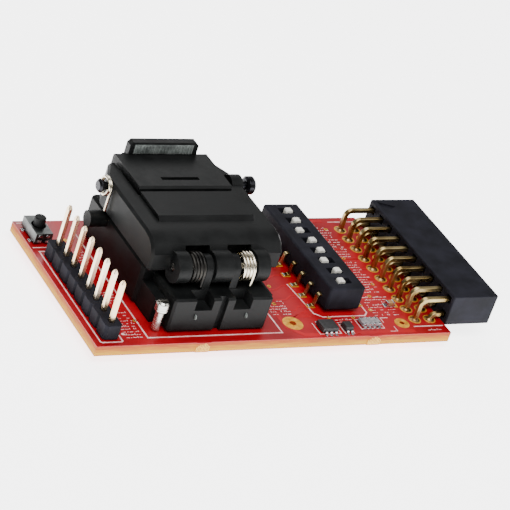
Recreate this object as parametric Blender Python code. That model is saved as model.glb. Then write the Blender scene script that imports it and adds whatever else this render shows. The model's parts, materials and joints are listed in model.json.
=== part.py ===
"""Socket adapter board: a small circuit board that carries a hinged clamshell chip socket, an eight-pin
header, an eight-way slide switch, a push button and a right-angle twenty-way connector.

Every size below is in millimetres in the board's own frame: X runs right along the front edge from its left
end, Y runs back from the front edge, Z runs up from the underside of the board. The whole assembly is shifted
so that the finished part's frame sits at the middle of its footprint, level with the solder tails' tips.
"""

import math

import bpy
import bmesh
from mathutils import Vector

MM = 0.001
GAP = 0.3
LOOSE = 0.2

# Circuit board
BOARD_W = 57.5
BOARD_D = 29.5
BOARD_T = 1.6
TAB_STUB = 0.12
PITCH = 2.54
PIN = 0.64
PIN_HOLE_R = 0.56
TAIL = 1.2

# Eight-pin header
HEADER_PINS = 8
HEADER_X = 2.6
HEADER_FRONT_Y = 2.5
HEADER_HOUSING_W = 2.5
HEADER_HOUSING_H = 2.3
HEADER_PIN_TOP = 10.3

# Twenty-way right-angle connector
CONTACTS_PER_ROW = 10
CONNECTOR_X = 57.65
CONNECTOR_DEPTH = 7.8
CONNECTOR_FRONT_Y = 2.09
CONNECTOR_LENGTH = 25.4
CONNECTOR_BOTTOM = 1.34
CONNECTOR_H = 4.9
UPPER_LEG_X = 53.06
LOWER_LEG_X = UPPER_LEG_X + PITCH
CAVITY = 1.2
CONTACT_REACH = 3.6

# Eight-way slide switch
SWITCH_X = 41.45
SWITCH_Y = 16.3
SWITCH_W = 5.9
SWITCH_L = 21.6
SWITCH_BOTTOM = 2.1
SWITCH_TOP = 5.9
SLIDERS = 8
SLIDER_TRAVEL = 0.8
SLIDER_W = 1.15
SLIDER_L = 0.95
SLIDER_PROUD = 0.25
SLOT_DEPTH = 1.5
LEFT_SLIDERS = (3, 6, 8)

# Push button
BUTTON_X = 2.05
BUTTON_Y = 25.9
BUTTON_W = 2.6
BUTTON_L = 4.7
BUTTON_BODY_TOP = 3.4
BUTTON_R = 0.85
BUTTON_TOP = 4.75
BUTTON_TRAVEL = 0.25
FRAME_T = 0.25

# Clamshell socket: base
SOCKET_X = 19.2
BASE_HALF = 9.7
BASE_FRONT = 9.2
BASE_BACK = 27.0
BASE_TOP = 7.9
SILL_HALF = 7.75
SILL_FRONT = 2.3
SILL_TOP = 7.0
POCKET_SPAN = (1.7, 4.4)
GROOVE_HALF = 0.55
GROOVE_DEPTH = 0.7
WING_HALF = 9.25
WELL_HALF = 6.1
WELL_FRONT = 11.2
WELL_BACK = 23.4
WELL_FLOOR = 2.8
BOSS_Y = 22.0
BOSS_Z = 7.0
BOSS_R = 1.2
BOSS_REACH = 12.4
LIP_LOW = 6.1
LIP_HIGH = 7.0
LIP_REACH = 0.35

# Clamshell socket: hinge. The spans are distances from the socket's middle.
HINGE_Y = 6.5
HINGE_Z = 9.5
HINGE_PIN_R = 0.6
BORE_R = 0.68
KNUCKLE_R = 1.8
LOBE_R = 2.2
COIL_R = 2.15
COIL_WIRE = 0.5
PIN_SIDES = 20
LOBE_MIDDLE = 1.4
KNUCKLE_SPAN = (1.6, 2.7)
COIL_SPAN = (2.9, 5.0)
LOBE_SPAN = (5.2, 7.2)

# Clamshell socket: lid
LID_HALF = 10.3
LID_FRONT = 7.2
LID_BACK = 27.2
LID_BOTTOM = 8.3
LID_TOP = 13.0
LID_CORNER_Y = 23.4
LID_CORNER_HALF = 8.4
RAISED_HALF = 7.5
RAISED_TOP = 13.6
RAISED_FRONT = 12.2
LID_ROOF = 9.9
NOTCH_R = 2.5

# Clamshell socket: latch
LATCH_Y = 22.3
LATCH_Z = 12.2
LATCH_PIN_R = 0.6
HUB_R = 1.5
LEVER_HALF = 7.4
LEVER_FRONT = 19.3
LEVER_TOP = 13.9
RECESS_FRONT = 18.7
RECESS_FLOOR = 10.9
STRAP_HALF = 5.8
STRAP_INNER = 27.9
STRAP_OUTER = 28.7
TAB_HALF = 5.5
TAB_TOP = 15.9
HOOK_TIP_Y = 27.6
HOOK_TOP_Z = 5.85
PIN_HEAD_R = 1.35
PIN_HEAD_SPAN = (11.4, 12.8)
PIN_END_R = 1.0
PIN_END_REACH = 12.1
EAR_R = 1.6
EAR_START = 8.5

TOTAL_W = CONNECTOR_X + CONNECTOR_DEPTH
FRAME_SHIFT = Vector((-TOTAL_W / 2, (TAB_STUB - BOARD_D) / 2, TAIL))

for old in list(bpy.data.objects):
    bpy.data.objects.remove(old)


# Materials

def finish(name, colour, roughness, metallic=0.0):
    """A Principled material of one colour."""
    made = bpy.data.materials.new(name)
    made.use_nodes = True
    shader = made.node_tree.nodes["Principled BSDF"]
    shader.inputs["Base Color"].default_value = (*colour, 1.0)
    shader.inputs["Roughness"].default_value = roughness
    shader.inputs["Metallic"].default_value = metallic
    return made


SOLDER_MASK = finish("red_solder_mask", (0.42, 0.008, 0.015), 0.25)
BLACK_PLASTIC = finish("black_moulded_plastic", (0.022, 0.022, 0.025), 0.45)
SOCKET_PLASTIC = finish("dark_socket_plastic", (0.030, 0.030, 0.032), 0.5)
GREY_PLASTIC = finish("grey_latch_plastic", (0.10, 0.11, 0.11), 0.5)
WHITE_PLASTIC = finish("white_slider_plastic", (0.80, 0.80, 0.76), 0.4)
GOLD_PLATE = finish("gold_plated_contact", (0.66, 0.50, 0.25), 0.3, 1.0)
PALE_GOLD = finish("pale_gold_pin", (0.80, 0.72, 0.55), 0.3, 1.0)
STEEL = finish("spring_steel", (0.62, 0.60, 0.56), 0.3, 1.0)
NICKEL = finish("nickel_frame", (0.74, 0.74, 0.72), 0.3, 1.0)
EPOXY = finish("chip_epoxy", (0.02, 0.02, 0.022), 0.4)
CERAMIC = finish("chip_ceramic", (0.62, 0.60, 0.57), 0.5)


# Shapes

board_frame = bpy.data.objects.new("board_frame", None)
board_frame.location = FRAME_SHIFT * MM
bpy.context.scene.collection.objects.link(board_frame)

AXES = {"X": (1, 2, 0), "Y": (0, 2, 1), "Z": (0, 1, 2)}


def add_prism(mesh, outline, axis, start, end):
    """A closed prism: an outline in the plane across an axis, carried from start to end along that axis."""
    across, up, along = AXES[axis]
    rings = []
    for level in (start, end):
        ring = []
        for a, b in outline:
            point = [0.0, 0.0, 0.0]
            point[across], point[up], point[along] = a, b, level
            ring.append(mesh.verts.new(point))
        rings.append(ring)
    count = len(outline)
    for i in range(count):
        j = (i + 1) % count
        mesh.faces.new((rings[0][i], rings[0][j], rings[1][j], rings[1][i]))
    mesh.faces.new(rings[0])
    mesh.faces.new(rings[1])


def add_box(mesh, low, high):
    """A box between two opposite corners."""
    outline = ((low[0], low[1]), (high[0], low[1]), (high[0], high[1]), (low[0], high[1]))
    add_prism(mesh, outline, "Z", low[2], high[2])


def add_square_taper(mesh, centre, axis, sections):
    """A square column along an axis, through sections that each give a level and a half width."""
    across, up, along = AXES[axis]
    rings = []
    for level, half in sections:
        section = []
        for a, b in ((-half, -half), (half, -half), (half, half), (-half, half)):
            point = [0.0, 0.0, 0.0]
            point[across], point[up], point[along] = centre[0] + a, centre[1] + b, level
            section.append(mesh.verts.new(point))
        rings.append(section)
    for near, far in zip(rings, rings[1:]):
        for i in range(4):
            j = (i + 1) % 4
            mesh.faces.new((near[i], near[j], far[j], far[i]))
    mesh.faces.new(rings[0])
    mesh.faces.new(rings[-1])


def arc(centre, radius, first, last, steps):
    """Points on an arc from one angle to another, in degrees."""
    points = []
    for i in range(steps + 1):
        angle = math.radians(first + (last - first) * i / steps)
        points.append((centre[0] + radius * math.cos(angle), centre[1] + radius * math.sin(angle)))
    return points


def circle(centre, radius, sides=PIN_SIDES):
    """The points of a regular polygon drawn in a circle."""
    return arc(centre, radius, 0, 360 - 360 / sides, sides - 1)


def annulus(mesh, centre, outer, inner, axis, start, end, sides=PIN_SIDES):
    """A closed tube along an axis, with flat ends."""
    across, up, along = AXES[axis]
    loops = []
    for level in (start, end):
        for radius in (outer, inner):
            loop = []
            for a, b in circle(centre, radius, sides):
                point = [0.0, 0.0, 0.0]
                point[across], point[up], point[along] = a, b, level
                loop.append(mesh.verts.new(point))
            loops.append(loop)
    near_outer, near_inner, far_outer, far_inner = loops
    pairs = ((near_outer, far_outer), (far_outer, far_inner), (far_inner, near_inner),
             (near_inner, near_outer))
    for one, other in pairs:
        for i in range(sides):
            j = (i + 1) % sides
            mesh.faces.new((one[i], one[j], other[j], other[i]))


def solid(name, material, origin, *builders):
    """An object whose mesh the builders draw in board millimetres, with its origin at a board point."""
    mesh = bmesh.new()
    for build in builders:
        build(mesh)
    bmesh.ops.recalc_face_normals(mesh, faces=mesh.faces)
    for vert in mesh.verts:
        vert.co = (vert.co - Vector(origin)) * MM
    data = bpy.data.meshes.new(name)
    mesh.to_mesh(data)
    mesh.free()
    data.materials.append(material)
    made = bpy.data.objects.new(name, data)
    made.location = Vector(origin) * MM
    made.parent = board_frame
    bpy.context.scene.collection.objects.link(made)
    return made


def tool(name, origin, *builders):
    """A hidden solid that only cuts or joins."""
    made = solid(name, SOCKET_PLASTIC, origin, *builders)
    made.hide_render = True
    made.display_type = "WIRE"
    return made


def combine(target, operation, *tools):
    """Boolean modifiers on the target, one for each tool."""
    for other in tools:
        step = target.modifiers.new(other.name, "BOOLEAN")
        step.operation = operation
        step.object = other
        step.solver = "EXACT"


def soften(target, width, limit=40):
    """A one-step bevel on the sharper edges."""
    step = target.modifiers.new("softened_edges", "BEVEL")
    step.width = width * MM
    step.segments = 1
    step.limit_method = "ANGLE"
    step.angle_limit = math.radians(limit)


def prism(outline, axis, start, end):
    return lambda mesh: add_prism(mesh, outline, axis, start, end)


def box(low, high):
    return lambda mesh: add_box(mesh, low, high)


def taper(centre, axis, sections):
    return lambda mesh: add_square_taper(mesh, centre, axis, sections)


def ring(centre, outer, inner, axis, start, end, sides=PIN_SIDES):
    return lambda mesh: annulus(mesh, centre, outer, inner, axis, start, end, sides)


# Circuit board

header_ys = [HEADER_FRONT_Y + PITCH * i for i in range(HEADER_PINS)]
contact_ys = [CONNECTOR_FRONT_Y + PITCH / 2 + PITCH * i for i in range(CONTACTS_PER_ROW)]


def drilled_holes():
    """Every plated hole in the board: the header's, the connector's and two spare ones."""
    places = [(HEADER_X, y, PIN_HOLE_R) for y in header_ys]
    places += [(x, y, PIN_HOLE_R) for x in (UPPER_LEG_X, LOWER_LEG_X) for y in contact_ys]
    places += [(32.4, 3.5, 0.5), (50.4, 2.6, 0.4)]
    return [prism(circle((x, y), r, 8), "Z", -1, BOARD_T + 1) for x, y, r in places]


def make_board():
    """The laminate, with the stubs of two break-off tabs on its front edge."""
    outline = [(0, 0)]
    for middle in (16.4, 44.4):
        outline += [(middle - 1.2, 0), (middle - 1.0, -TAB_STUB)]
        outline += [(middle + 1.0, -TAB_STUB), (middle + 1.2, 0)]
    outline += [(BOARD_W, 0), (BOARD_W, BOARD_D), (0, BOARD_D)]
    board = solid("circuit_board", SOLDER_MASK, (0, 0, 0), prism(outline, "Z", 0, BOARD_T))
    combine(board, "DIFFERENCE", tool("cut_board_holes", (0, 0, 0), *drilled_holes()))


# Eight-pin header

def make_header():
    """A black strip with waisted sides and eight straight square pins."""
    half = HEADER_HOUSING_W / 2
    notch = 0.35
    outline = []
    right = []
    for y in header_ys:
        low, high = y - PITCH / 2, y + PITCH / 2
        outline += [(HEADER_X - half, low + notch), (HEADER_X - half, high - notch)]
        right += [(HEADER_X + half, low + notch), (HEADER_X + half, high - notch)]
        if y != header_ys[-1]:
            outline.append((HEADER_X - half + notch, high))
            right.append((HEADER_X + half - notch, high))
    ends = (header_ys[0] - PITCH / 2, header_ys[-1] + PITCH / 2)
    first = (HEADER_X + half - notch, ends[0]), (HEADER_X - half + notch, ends[0])
    last = (HEADER_X - half + notch, ends[1]), (HEADER_X + half - notch, ends[1])
    outline = list(first) + outline + list(last) + right[::-1]
    bottom = BOARD_T + GAP / 3
    housing = solid("header_housing", BLACK_PLASTIC, (0, 0, 0),
                    prism(outline, "Z", bottom, BOARD_T + HEADER_HOUSING_H))
    clearance = PIN / 2 + 0.08
    holes = [box((HEADER_X - clearance, y - clearance, 0), (HEADER_X + clearance, y + clearance, 9))
             for y in header_ys]
    combine(housing, "DIFFERENCE", tool("cut_header", (0, 0, 0), *holes))
    for i, y in enumerate(header_ys):
        make_square_pin(f"header_pin_{i + 1}", y)


def make_square_pin(name, y):
    """A straight square pin with a short tapered tip at the top."""
    half = PIN / 2
    sections = ((-TAIL, half), (HEADER_PIN_TOP - 0.5, half), (HEADER_PIN_TOP, half * 0.55))
    solid(name, PALE_GOLD, (HEADER_X, y, 0), taper((HEADER_X, y), "Z", sections))


# Twenty-way connector

ROW_MIDDLE = CONNECTOR_BOTTOM + CONNECTOR_H / 2
UPPER_Z = ROW_MIDDLE + PITCH / 2
LOWER_Z = ROW_MIDDLE - PITCH / 2
CONNECTOR_FACE = CONNECTOR_X + CONNECTOR_DEPTH


def make_connector():
    """The housing overhangs the board's right edge; its sockets open to the right."""
    low = (CONNECTOR_X, CONNECTOR_FRONT_Y, CONNECTOR_BOTTOM)
    high = (CONNECTOR_FACE, CONNECTOR_FRONT_Y + CONNECTOR_LENGTH, CONNECTOR_BOTTOM + CONNECTOR_H)
    housing = solid("connector_housing", BLACK_PLASTIC, (0, 0, 0), box(low, high))
    soften(housing, 0.12)
    cavities = []
    half = CAVITY / 2
    for y in contact_ys:
        for z in (UPPER_Z, LOWER_Z):
            cavities.append(box((CONNECTOR_X - 1, y - half, z - half),
                                (CONNECTOR_FACE - 1.2, y + half, z + half)))
    combine(housing, "DIFFERENCE", tool("cut_cavities", (0, 0, 0), *cavities))
    mouths = []
    for y in contact_ys:
        for z in (UPPER_Z, LOWER_Z):
            mouths.append(mouth_cutter((y, z)))
    combine(housing, "DIFFERENCE", tool("cut_mouths", (0, 0, 0), *mouths))
    top = CONNECTOR_BOTTOM + CONNECTOR_H
    back = CONNECTOR_FRONT_Y + CONNECTOR_LENGTH
    mark = ((CONNECTOR_X + 0.7, back - 0.7), (CONNECTOR_X + 3.3, back - 2.0), (CONNECTOR_X + 0.7, back - 3.3))
    combine(housing, "DIFFERENCE", tool("cut_corner_mark", (0, 0, 0), prism(mark, "Z", top - 0.25, top + 1)))
    for i, y in enumerate(contact_ys):
        make_contact(f"connector_contact_{2 * i + 1:02d}", y, UPPER_LEG_X, UPPER_Z)
        make_contact(f"connector_contact_{2 * i + 2:02d}", y, LOWER_LEG_X, LOWER_Z)


def mouth_cutter(centre):
    """A square way in, 0.9 wide, that flares out at the mating face."""
    throat = 0.45
    sections = ((CONNECTOR_FACE - 2.0, throat), (CONNECTOR_FACE - 0.4, throat),
                (CONNECTOR_FACE + 0.2, throat + 0.45))
    return taper(centre, "X", sections)


def make_contact(name, y, leg_x, level):
    """A square wire: a leg through the board, a round bend, and a straight run into the housing."""
    half = PIN / 2
    bend = 0.9
    inside = CONNECTOR_X + CONTACT_REACH
    centre = (leg_x + bend, level - bend)
    outer = arc(centre, bend + half, 180, 90, 4)
    inner = arc(centre, bend - half, 90, 180, 3)
    outline = [(leg_x - half, -TAIL)] + outer + [(inside, level + half), (inside, level - half)]
    outline += inner + [(leg_x + half, -TAIL)]
    solid(name, GOLD_PLATE, (leg_x, y, 0), prism(outline, "Y", y - half, y + half))


# Eight-way slide switch

slider_ys = [SWITCH_Y + PITCH * (3.5 - i) for i in range(SLIDERS)]


def slider_x(index):
    """The place across the switch of one slider: left for those set on, right for the rest."""
    side = -1 if index + 1 in LEFT_SLIDERS else 1
    return SWITCH_X + side * SLIDER_TRAVEL / 2


def make_slide_switch():
    """A low black body with eight slots, and a white slider in each."""
    half_w, half_l = SWITCH_W / 2, SWITCH_L / 2
    body = solid("switch_body", BLACK_PLASTIC, (0, 0, 0),
                 box((SWITCH_X - half_w, SWITCH_Y - half_l, SWITCH_BOTTOM),
                     (SWITCH_X + half_w, SWITCH_Y + half_l, SWITCH_TOP)))
    soften(body, 0.25)
    reach_x = SLIDER_W / 2 + SLIDER_TRAVEL / 2 + LOOSE
    reach_y = SLIDER_L / 2 + LOOSE
    slots = [box((SWITCH_X - reach_x, y - reach_y, SWITCH_TOP - SLOT_DEPTH),
                 (SWITCH_X + reach_x, y + reach_y, SWITCH_TOP + 1)) for y in slider_ys]
    combine(body, "DIFFERENCE", tool("cut_slots", (0, 0, 0), *slots))
    for i, y in enumerate(slider_ys):
        make_slider(f"switch_slider_{i + 1}", slider_x(i), y)


def make_slider(name, x, y):
    """One slider, a little proud of the body, with its top edges taken off."""
    half_w, half_l = SLIDER_W / 2, SLIDER_L / 2
    low = SWITCH_TOP - SLOT_DEPTH + LOOSE
    top = SWITCH_TOP + SLIDER_PROUD
    edge = 0.2
    outline = ((x - half_w, low), (x + half_w, low), (x + half_w, top - edge), (x + half_w - edge, top),
               (x - half_w + edge, top), (x - half_w, top - edge))
    solid(name, WHITE_PLASTIC, (x, y, low), prism(outline, "Y", y - half_l, y + half_l))


# Push button

def make_push_button():
    """A small switch: a moulded body, a folded metal frame over it, and a round plunger."""
    half_w, half_l = BUTTON_W / 2, BUTTON_L / 2
    bottom = BOARD_T + GAP / 3
    inset = FRAME_T + 0.1
    body = solid("button_body", BLACK_PLASTIC, (0, 0, 0),
                 box((BUTTON_X - half_w + inset, BUTTON_Y - half_l + inset, bottom),
                     (BUTTON_X + half_w - inset, BUTTON_Y + half_l - inset, BUTTON_BODY_TOP - inset)))
    well = prism(circle((BUTTON_X, BUTTON_Y), BUTTON_R + LOOSE, 16), "Z", BUTTON_BODY_TOP - 1.1, 9)
    combine(body, "DIFFERENCE", tool("cut_button_well", (0, 0, 0), well))
    frame = solid("button_frame", NICKEL, (0, 0, 0),
                  box((BUTTON_X - half_w, BUTTON_Y - half_l, BOARD_T + 0.25),
                      (BUTTON_X + half_w, BUTTON_Y + half_l, BUTTON_BODY_TOP)))
    inner = box((BUTTON_X - half_w + FRAME_T, BUTTON_Y - half_l + FRAME_T, 0),
                (BUTTON_X + half_w - FRAME_T, BUTTON_Y + half_l - FRAME_T, BUTTON_BODY_TOP - FRAME_T))
    hole = prism(circle((BUTTON_X, BUTTON_Y), BUTTON_R + LOOSE, 16), "Z", BUTTON_BODY_TOP - 1, 9)
    window = box((BUTTON_X - 0.55, BUTTON_Y - 9, BOARD_T), (BUTTON_X + 0.75, BUTTON_Y + 9, BOARD_T + 0.9))
    combine(frame, "DIFFERENCE", tool("cut_frame_inside", (0, 0, 0), inner),
            tool("cut_frame_hole", (0, 0, 0), hole), tool("cut_frame_windows", (0, 0, 0), window))
    low = BUTTON_BODY_TOP - 1.1 + BUTTON_TRAVEL + 0.1
    plunger = solid("push_button", BLACK_PLASTIC, (BUTTON_X, BUTTON_Y, low),
                    prism(circle((BUTTON_X, BUTTON_Y), BUTTON_R, 16), "Z", low, BUTTON_TOP))
    soften(plunger, 0.18)


# Chip socket: base and what it holds

def mirrored(low, high):
    """The two spans, left and right of the socket's middle, between two distances from it."""
    return ((SOCKET_X - high, SOCKET_X - low), (SOCKET_X + low, SOCKET_X + high))


def block(half, front, back, low, high):
    """A box centred on the socket's middle line."""
    return box((SOCKET_X - half, front, low), (SOCKET_X + half, back, high))


def along_pin(y, z, radius, start, end, sides=PIN_SIDES):
    """A round bar along X between two distances from the socket's middle."""
    return prism(circle((y, z), radius, sides), "X", SOCKET_X + start, SOCKET_X + end)


def make_socket_base():
    """The moulded base: body, front sill with pockets, hinge knuckles, side bosses and the latch's lip."""
    bottom = BOARD_T + GAP / 3
    base = solid("socket_base", SOCKET_PLASTIC, (0, 0, 0),
                 block(BASE_HALF, BASE_FRONT, BASE_BACK, bottom, BASE_TOP))
    soften(base, 0.4)
    sill = tool("join_sill", (0, 0, 0), block(SILL_HALF, SILL_FRONT, BASE_FRONT + 1, bottom, SILL_TOP))
    soften(sill, 0.3)
    wing = tool("join_wing", (0, 0, 0), block(WING_HALF, 4.9, BASE_FRONT + 1, bottom, SILL_TOP - 1.4))
    lip = tool("join_lip", (0, 0, 0),
               block(STRAP_HALF + 1, BASE_BACK - 1, BASE_BACK + LIP_REACH, LIP_LOW, LIP_HIGH))
    foot = SILL_TOP - 1.0
    outline = [(HINGE_Y - KNUCKLE_R, foot), (HINGE_Y + KNUCKLE_R, foot)]
    outline += arc((HINGE_Y, HINGE_Z), KNUCKLE_R, 0, 180, 8)
    knuckles = [tool(f"join_knuckle_{i}", (0, 0, 0), prism(outline, "X", *span))
                for i, span in enumerate(mirrored(*KNUCKLE_SPAN))]
    bosses = [tool(f"join_boss_{i}", (0, 0, 0), prism(circle((BOSS_Y, BOSS_Z), BOSS_R, 16), "X", *span))
              for i, span in enumerate(mirrored(BASE_HALF - 1, BOSS_REACH))]
    combine(base, "UNION", sill, wing, lip, *knuckles, *bosses)
    well = block(WELL_HALF, WELL_FRONT, WELL_BACK, WELL_FLOOR, BASE_TOP + 4)
    pockets = [box((low, SILL_FRONT - 1, SILL_TOP - 1.8), (high, 4.6, SILL_TOP + 1))
               for low, high in mirrored(*POCKET_SPAN)]
    groove = block(GROOVE_HALF, SILL_FRONT - 1, SILL_FRONT + GROOVE_DEPTH, 0, SILL_TOP + 1)
    combine(base, "DIFFERENCE", tool("cut_well", (0, 0, 0), well), tool("cut_groove", (0, 0, 0), groove),
            tool("cut_base_bore", (0, 0, 0), along_pin(HINGE_Y, HINGE_Z, BORE_R, -15, 15)),
            tool("cut_pockets", (0, 0, 0), *pockets))


def make_socket_inside():
    """The contact block in the floor of the well and the guide frame that the chip drops into."""
    half = WELL_HALF - GAP
    front, back = WELL_FRONT + GAP, WELL_BACK - GAP
    middle = (front + back) / 2
    contacts = solid("contact_block", BLACK_PLASTIC, (0, 0, 0),
                     block(half, front, back, WELL_FLOOR + 0.1, 4.4))
    slits = []
    for i in range(5):
        shift = (i - 2) * 0.65
        for side in (-1, 1):
            x = SOCKET_X + side * 2.6
            y = middle + side * 2.6
            slits.append(box((x - 0.6, middle + shift - 0.15, 4.0), (x + 0.6, middle + shift + 0.15, 6)))
            slits.append(box((SOCKET_X + shift - 0.15, y - 0.6, 4.0), (SOCKET_X + shift + 0.15, y + 0.6, 6)))
    combine(contacts, "DIFFERENCE", tool("cut_contact_slits", (0, 0, 0), *slits))
    nest = solid("chip_guide", SOCKET_PLASTIC, (0, 0, 0), block(half, front, back, 4.7, 6.3))
    funnel = taper((SOCKET_X, middle), "Z", ((4, 3.5), (5.4, 3.5), (7.0, 4.6)))
    combine(nest, "DIFFERENCE", tool("cut_guide", (0, 0, 0), funnel))


def make_socket_screw():
    """The steel fixing screw that stands beside the sill, with its round slotted head."""
    centre = (SOCKET_X - 8.95, 3.3)
    bottom = BOARD_T + GAP / 3
    screw = solid("socket_screw", STEEL, (*centre, bottom),
                  prism(circle(centre, 0.62, 14), "Z", bottom, 5.0))
    head = tool("join_screw_head", (0, 0, 0), prism(circle(centre, 0.95, 14), "Z", 4.6, 6.3))
    soften(head, 0.25)
    slot = box((centre[0] - 2, centre[1] - 0.16, 5.9), (centre[0] + 2, centre[1] + 0.16, 7))
    combine(screw, "UNION", head)
    combine(screw, "DIFFERENCE", tool("cut_screw_slot", (0, 0, 0), slot))


def make_hinge_hardware():
    """The steel hinge pin and the two torsion coils on it."""
    origin = (SOCKET_X, HINGE_Y, HINGE_Z)
    reach = LOBE_SPAN[1] - 0.2
    solid("lid_hinge_pin", STEEL, origin, along_pin(HINGE_Y, HINGE_Z, HINGE_PIN_R, -reach, reach))
    for name, span in zip(("lid_spring_left", "lid_spring_right"), mirrored(*COIL_SPAN)):
        solid(name, STEEL, origin, ring((HINGE_Y, HINGE_Z), COIL_R, COIL_R - COIL_WIRE, "X", *span, 24))


# Chip socket: lid

def make_lid():
    """The cover: a block with clipped back corners and a rounded brow, lobes round the hinge pin, a raised
    middle, and a recess behind it where the latch lever sits."""
    origin = (SOCKET_X, HINGE_Y, HINGE_Z)
    side = [(LID_FRONT, LID_BOTTOM), (LID_BACK, LID_BOTTOM), (LID_BACK, LID_TOP), (10.8, LID_TOP),
            (9.2, LID_TOP - 0.2), (8.0, LID_TOP - 0.85), (LID_FRONT, LID_TOP - 2.0)]
    lid = solid("socket_lid", SOCKET_PLASTIC, origin,
                prism(side, "X", SOCKET_X - LID_HALF - 1, SOCKET_X + LID_HALF + 1))
    plan = [(-LID_HALF, 0), (LID_HALF, 0), (LID_HALF, LID_CORNER_Y), (LID_CORNER_HALF, LID_BACK + 0.01),
            (-LID_CORNER_HALF, LID_BACK + 0.01), (-LID_HALF, LID_CORNER_Y)]
    shape = prism([(SOCKET_X + x, y) for x, y in plan], "Z", 0, 20)
    combine(lid, "INTERSECT", tool("keep_lid_plan", origin, shape))
    soften(lid, 0.35)
    raised = [(RAISED_FRONT, LID_TOP - 1), (RAISED_FRONT, LID_TOP), (RAISED_FRONT + 0.6, RAISED_TOP),
              (RECESS_FRONT, RAISED_TOP), (RECESS_FRONT, LID_TOP - 1)]
    parts = [prism(raised, "X", SOCKET_X - RAISED_HALF, SOCKET_X + RAISED_HALF)]
    lobe = arc((HINGE_Y, HINGE_Z), LOBE_R, 290, 75, 12)
    lobe += [(LID_FRONT + 1, 11.4), (LID_FRONT + 1, LID_BOTTOM + 0.2)]
    spans = [*mirrored(*LOBE_SPAN), (SOCKET_X - LOBE_MIDDLE, SOCKET_X + LOBE_MIDDLE)]
    parts += [prism(lobe, "X", *span) for span in spans]
    parts.append(along_pin(LATCH_Y, LATCH_Z, EAR_R, EAR_START, LID_HALF + 0.02))
    combine(lid, "UNION", *[tool(f"join_lid_{i}", origin, part) for i, part in enumerate(parts)])
    notches = []
    for low, high in mirrored(LOBE_MIDDLE, LOBE_SPAN[0]):
        around = arc((HINGE_Y, HINGE_Z), NOTCH_R, 270, 90, 8)
        outline = around + [(8.9, HINGE_Z + NOTCH_R), (8.9, HINGE_Z - NOTCH_R)]
        notches.append(prism(outline, "X", low, high))
    hollow = block(LID_HALF - 2.2, 10.8, 24.6, 5, LID_ROOF)
    recess = block(LEVER_HALF + 0.25, RECESS_FRONT, LID_BACK + 1, RECESS_FLOOR, 16)
    trough = along_pin(LATCH_Y, LATCH_Z, HUB_R + 0.25, -LEVER_HALF - 0.25, LEVER_HALF + 0.25)
    cuts = [*notches, hollow, recess, trough, along_pin(HINGE_Y, HINGE_Z, BORE_R, -15, 15),
            along_pin(LATCH_Y, LATCH_Z, BORE_R, -15, 15)]
    combine(lid, "DIFFERENCE", *[tool(f"cut_lid_{i}", origin, cut) for i, cut in enumerate(cuts)])


def make_pressure_pad():
    """The stepped block that presses on the chip: a wide plate under the roof and a square nose below it."""
    middle = (WELL_FRONT + WELL_BACK) / 2
    pad = solid("pressure_pad", BLACK_PLASTIC, (SOCKET_X, middle, 9),
                block(5.2, middle - 5.2, middle + 5.2, 8.5, LID_ROOF - 0.5))
    nose = tool("join_pad_nose", (0, 0, 0), block(2.8, middle - 2.8, middle + 2.8, 6.6, 8.9))
    soften(nose, 0.3)
    combine(pad, "UNION", nose)


# Chip socket: latch

def make_latch():
    """The latch lever: a slotted plate over a hub, a strap down the back with its hook, and a finger tab."""
    origin = (SOCKET_X, LATCH_Y, LATCH_Z)
    top = LEVER_TOP
    plate = [(LEVER_FRONT, top - 1.1), (LATCH_Y + 1, top - 2.0), (STRAP_INNER + 0.2, top - 2.0),
             (STRAP_INNER + 0.2, top - 0.3), (STRAP_INNER - 0.1, top), (LEVER_FRONT + 0.3, top),
             (LEVER_FRONT, top - 0.3)]
    latch = solid("latch", GREY_PLASTIC, origin,
                  prism(plate, "X", SOCKET_X - LEVER_HALF, SOCKET_X + LEVER_HALF))
    hub = along_pin(LATCH_Y, LATCH_Z, HUB_R, -LEVER_HALF + 0.02, LEVER_HALF - 0.02)
    strap = [(STRAP_INNER, top - 0.4), (STRAP_INNER, HOOK_TOP_Z + 0.3), (HOOK_TIP_Y, HOOK_TOP_Z),
             (HOOK_TIP_Y, HOOK_TOP_Z - 0.5), (STRAP_INNER + 0.2, 5.0), (STRAP_OUTER, 5.0),
             (STRAP_OUTER, top - 0.4)]
    tab = [(SOCKET_X - TAB_HALF, top - 1), (SOCKET_X + TAB_HALF, top - 1),
           (SOCKET_X + TAB_HALF, TAB_TOP - 0.45),
           (SOCKET_X + TAB_HALF - 0.45, TAB_TOP), (SOCKET_X - TAB_HALF + 0.45, TAB_TOP),
           (SOCKET_X - TAB_HALF, TAB_TOP - 0.45)]
    combine(latch, "UNION", tool("join_hub", origin, hub),
            tool("join_strap", origin, prism(strap, "X", SOCKET_X - STRAP_HALF, SOCKET_X + STRAP_HALF)),
            tool("join_tab", origin, prism(tab, "Y", STRAP_INNER - 0.4, STRAP_OUTER - 0.02)))
    slot = block(3.0, 21.1, 21.8, top - 0.6, top + 1)
    combine(latch, "DIFFERENCE", tool("cut_lever_slot", origin, slot),
            tool("cut_hub_bore", origin, along_pin(LATCH_Y, LATCH_Z, BORE_R, -15, 15)))


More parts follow.
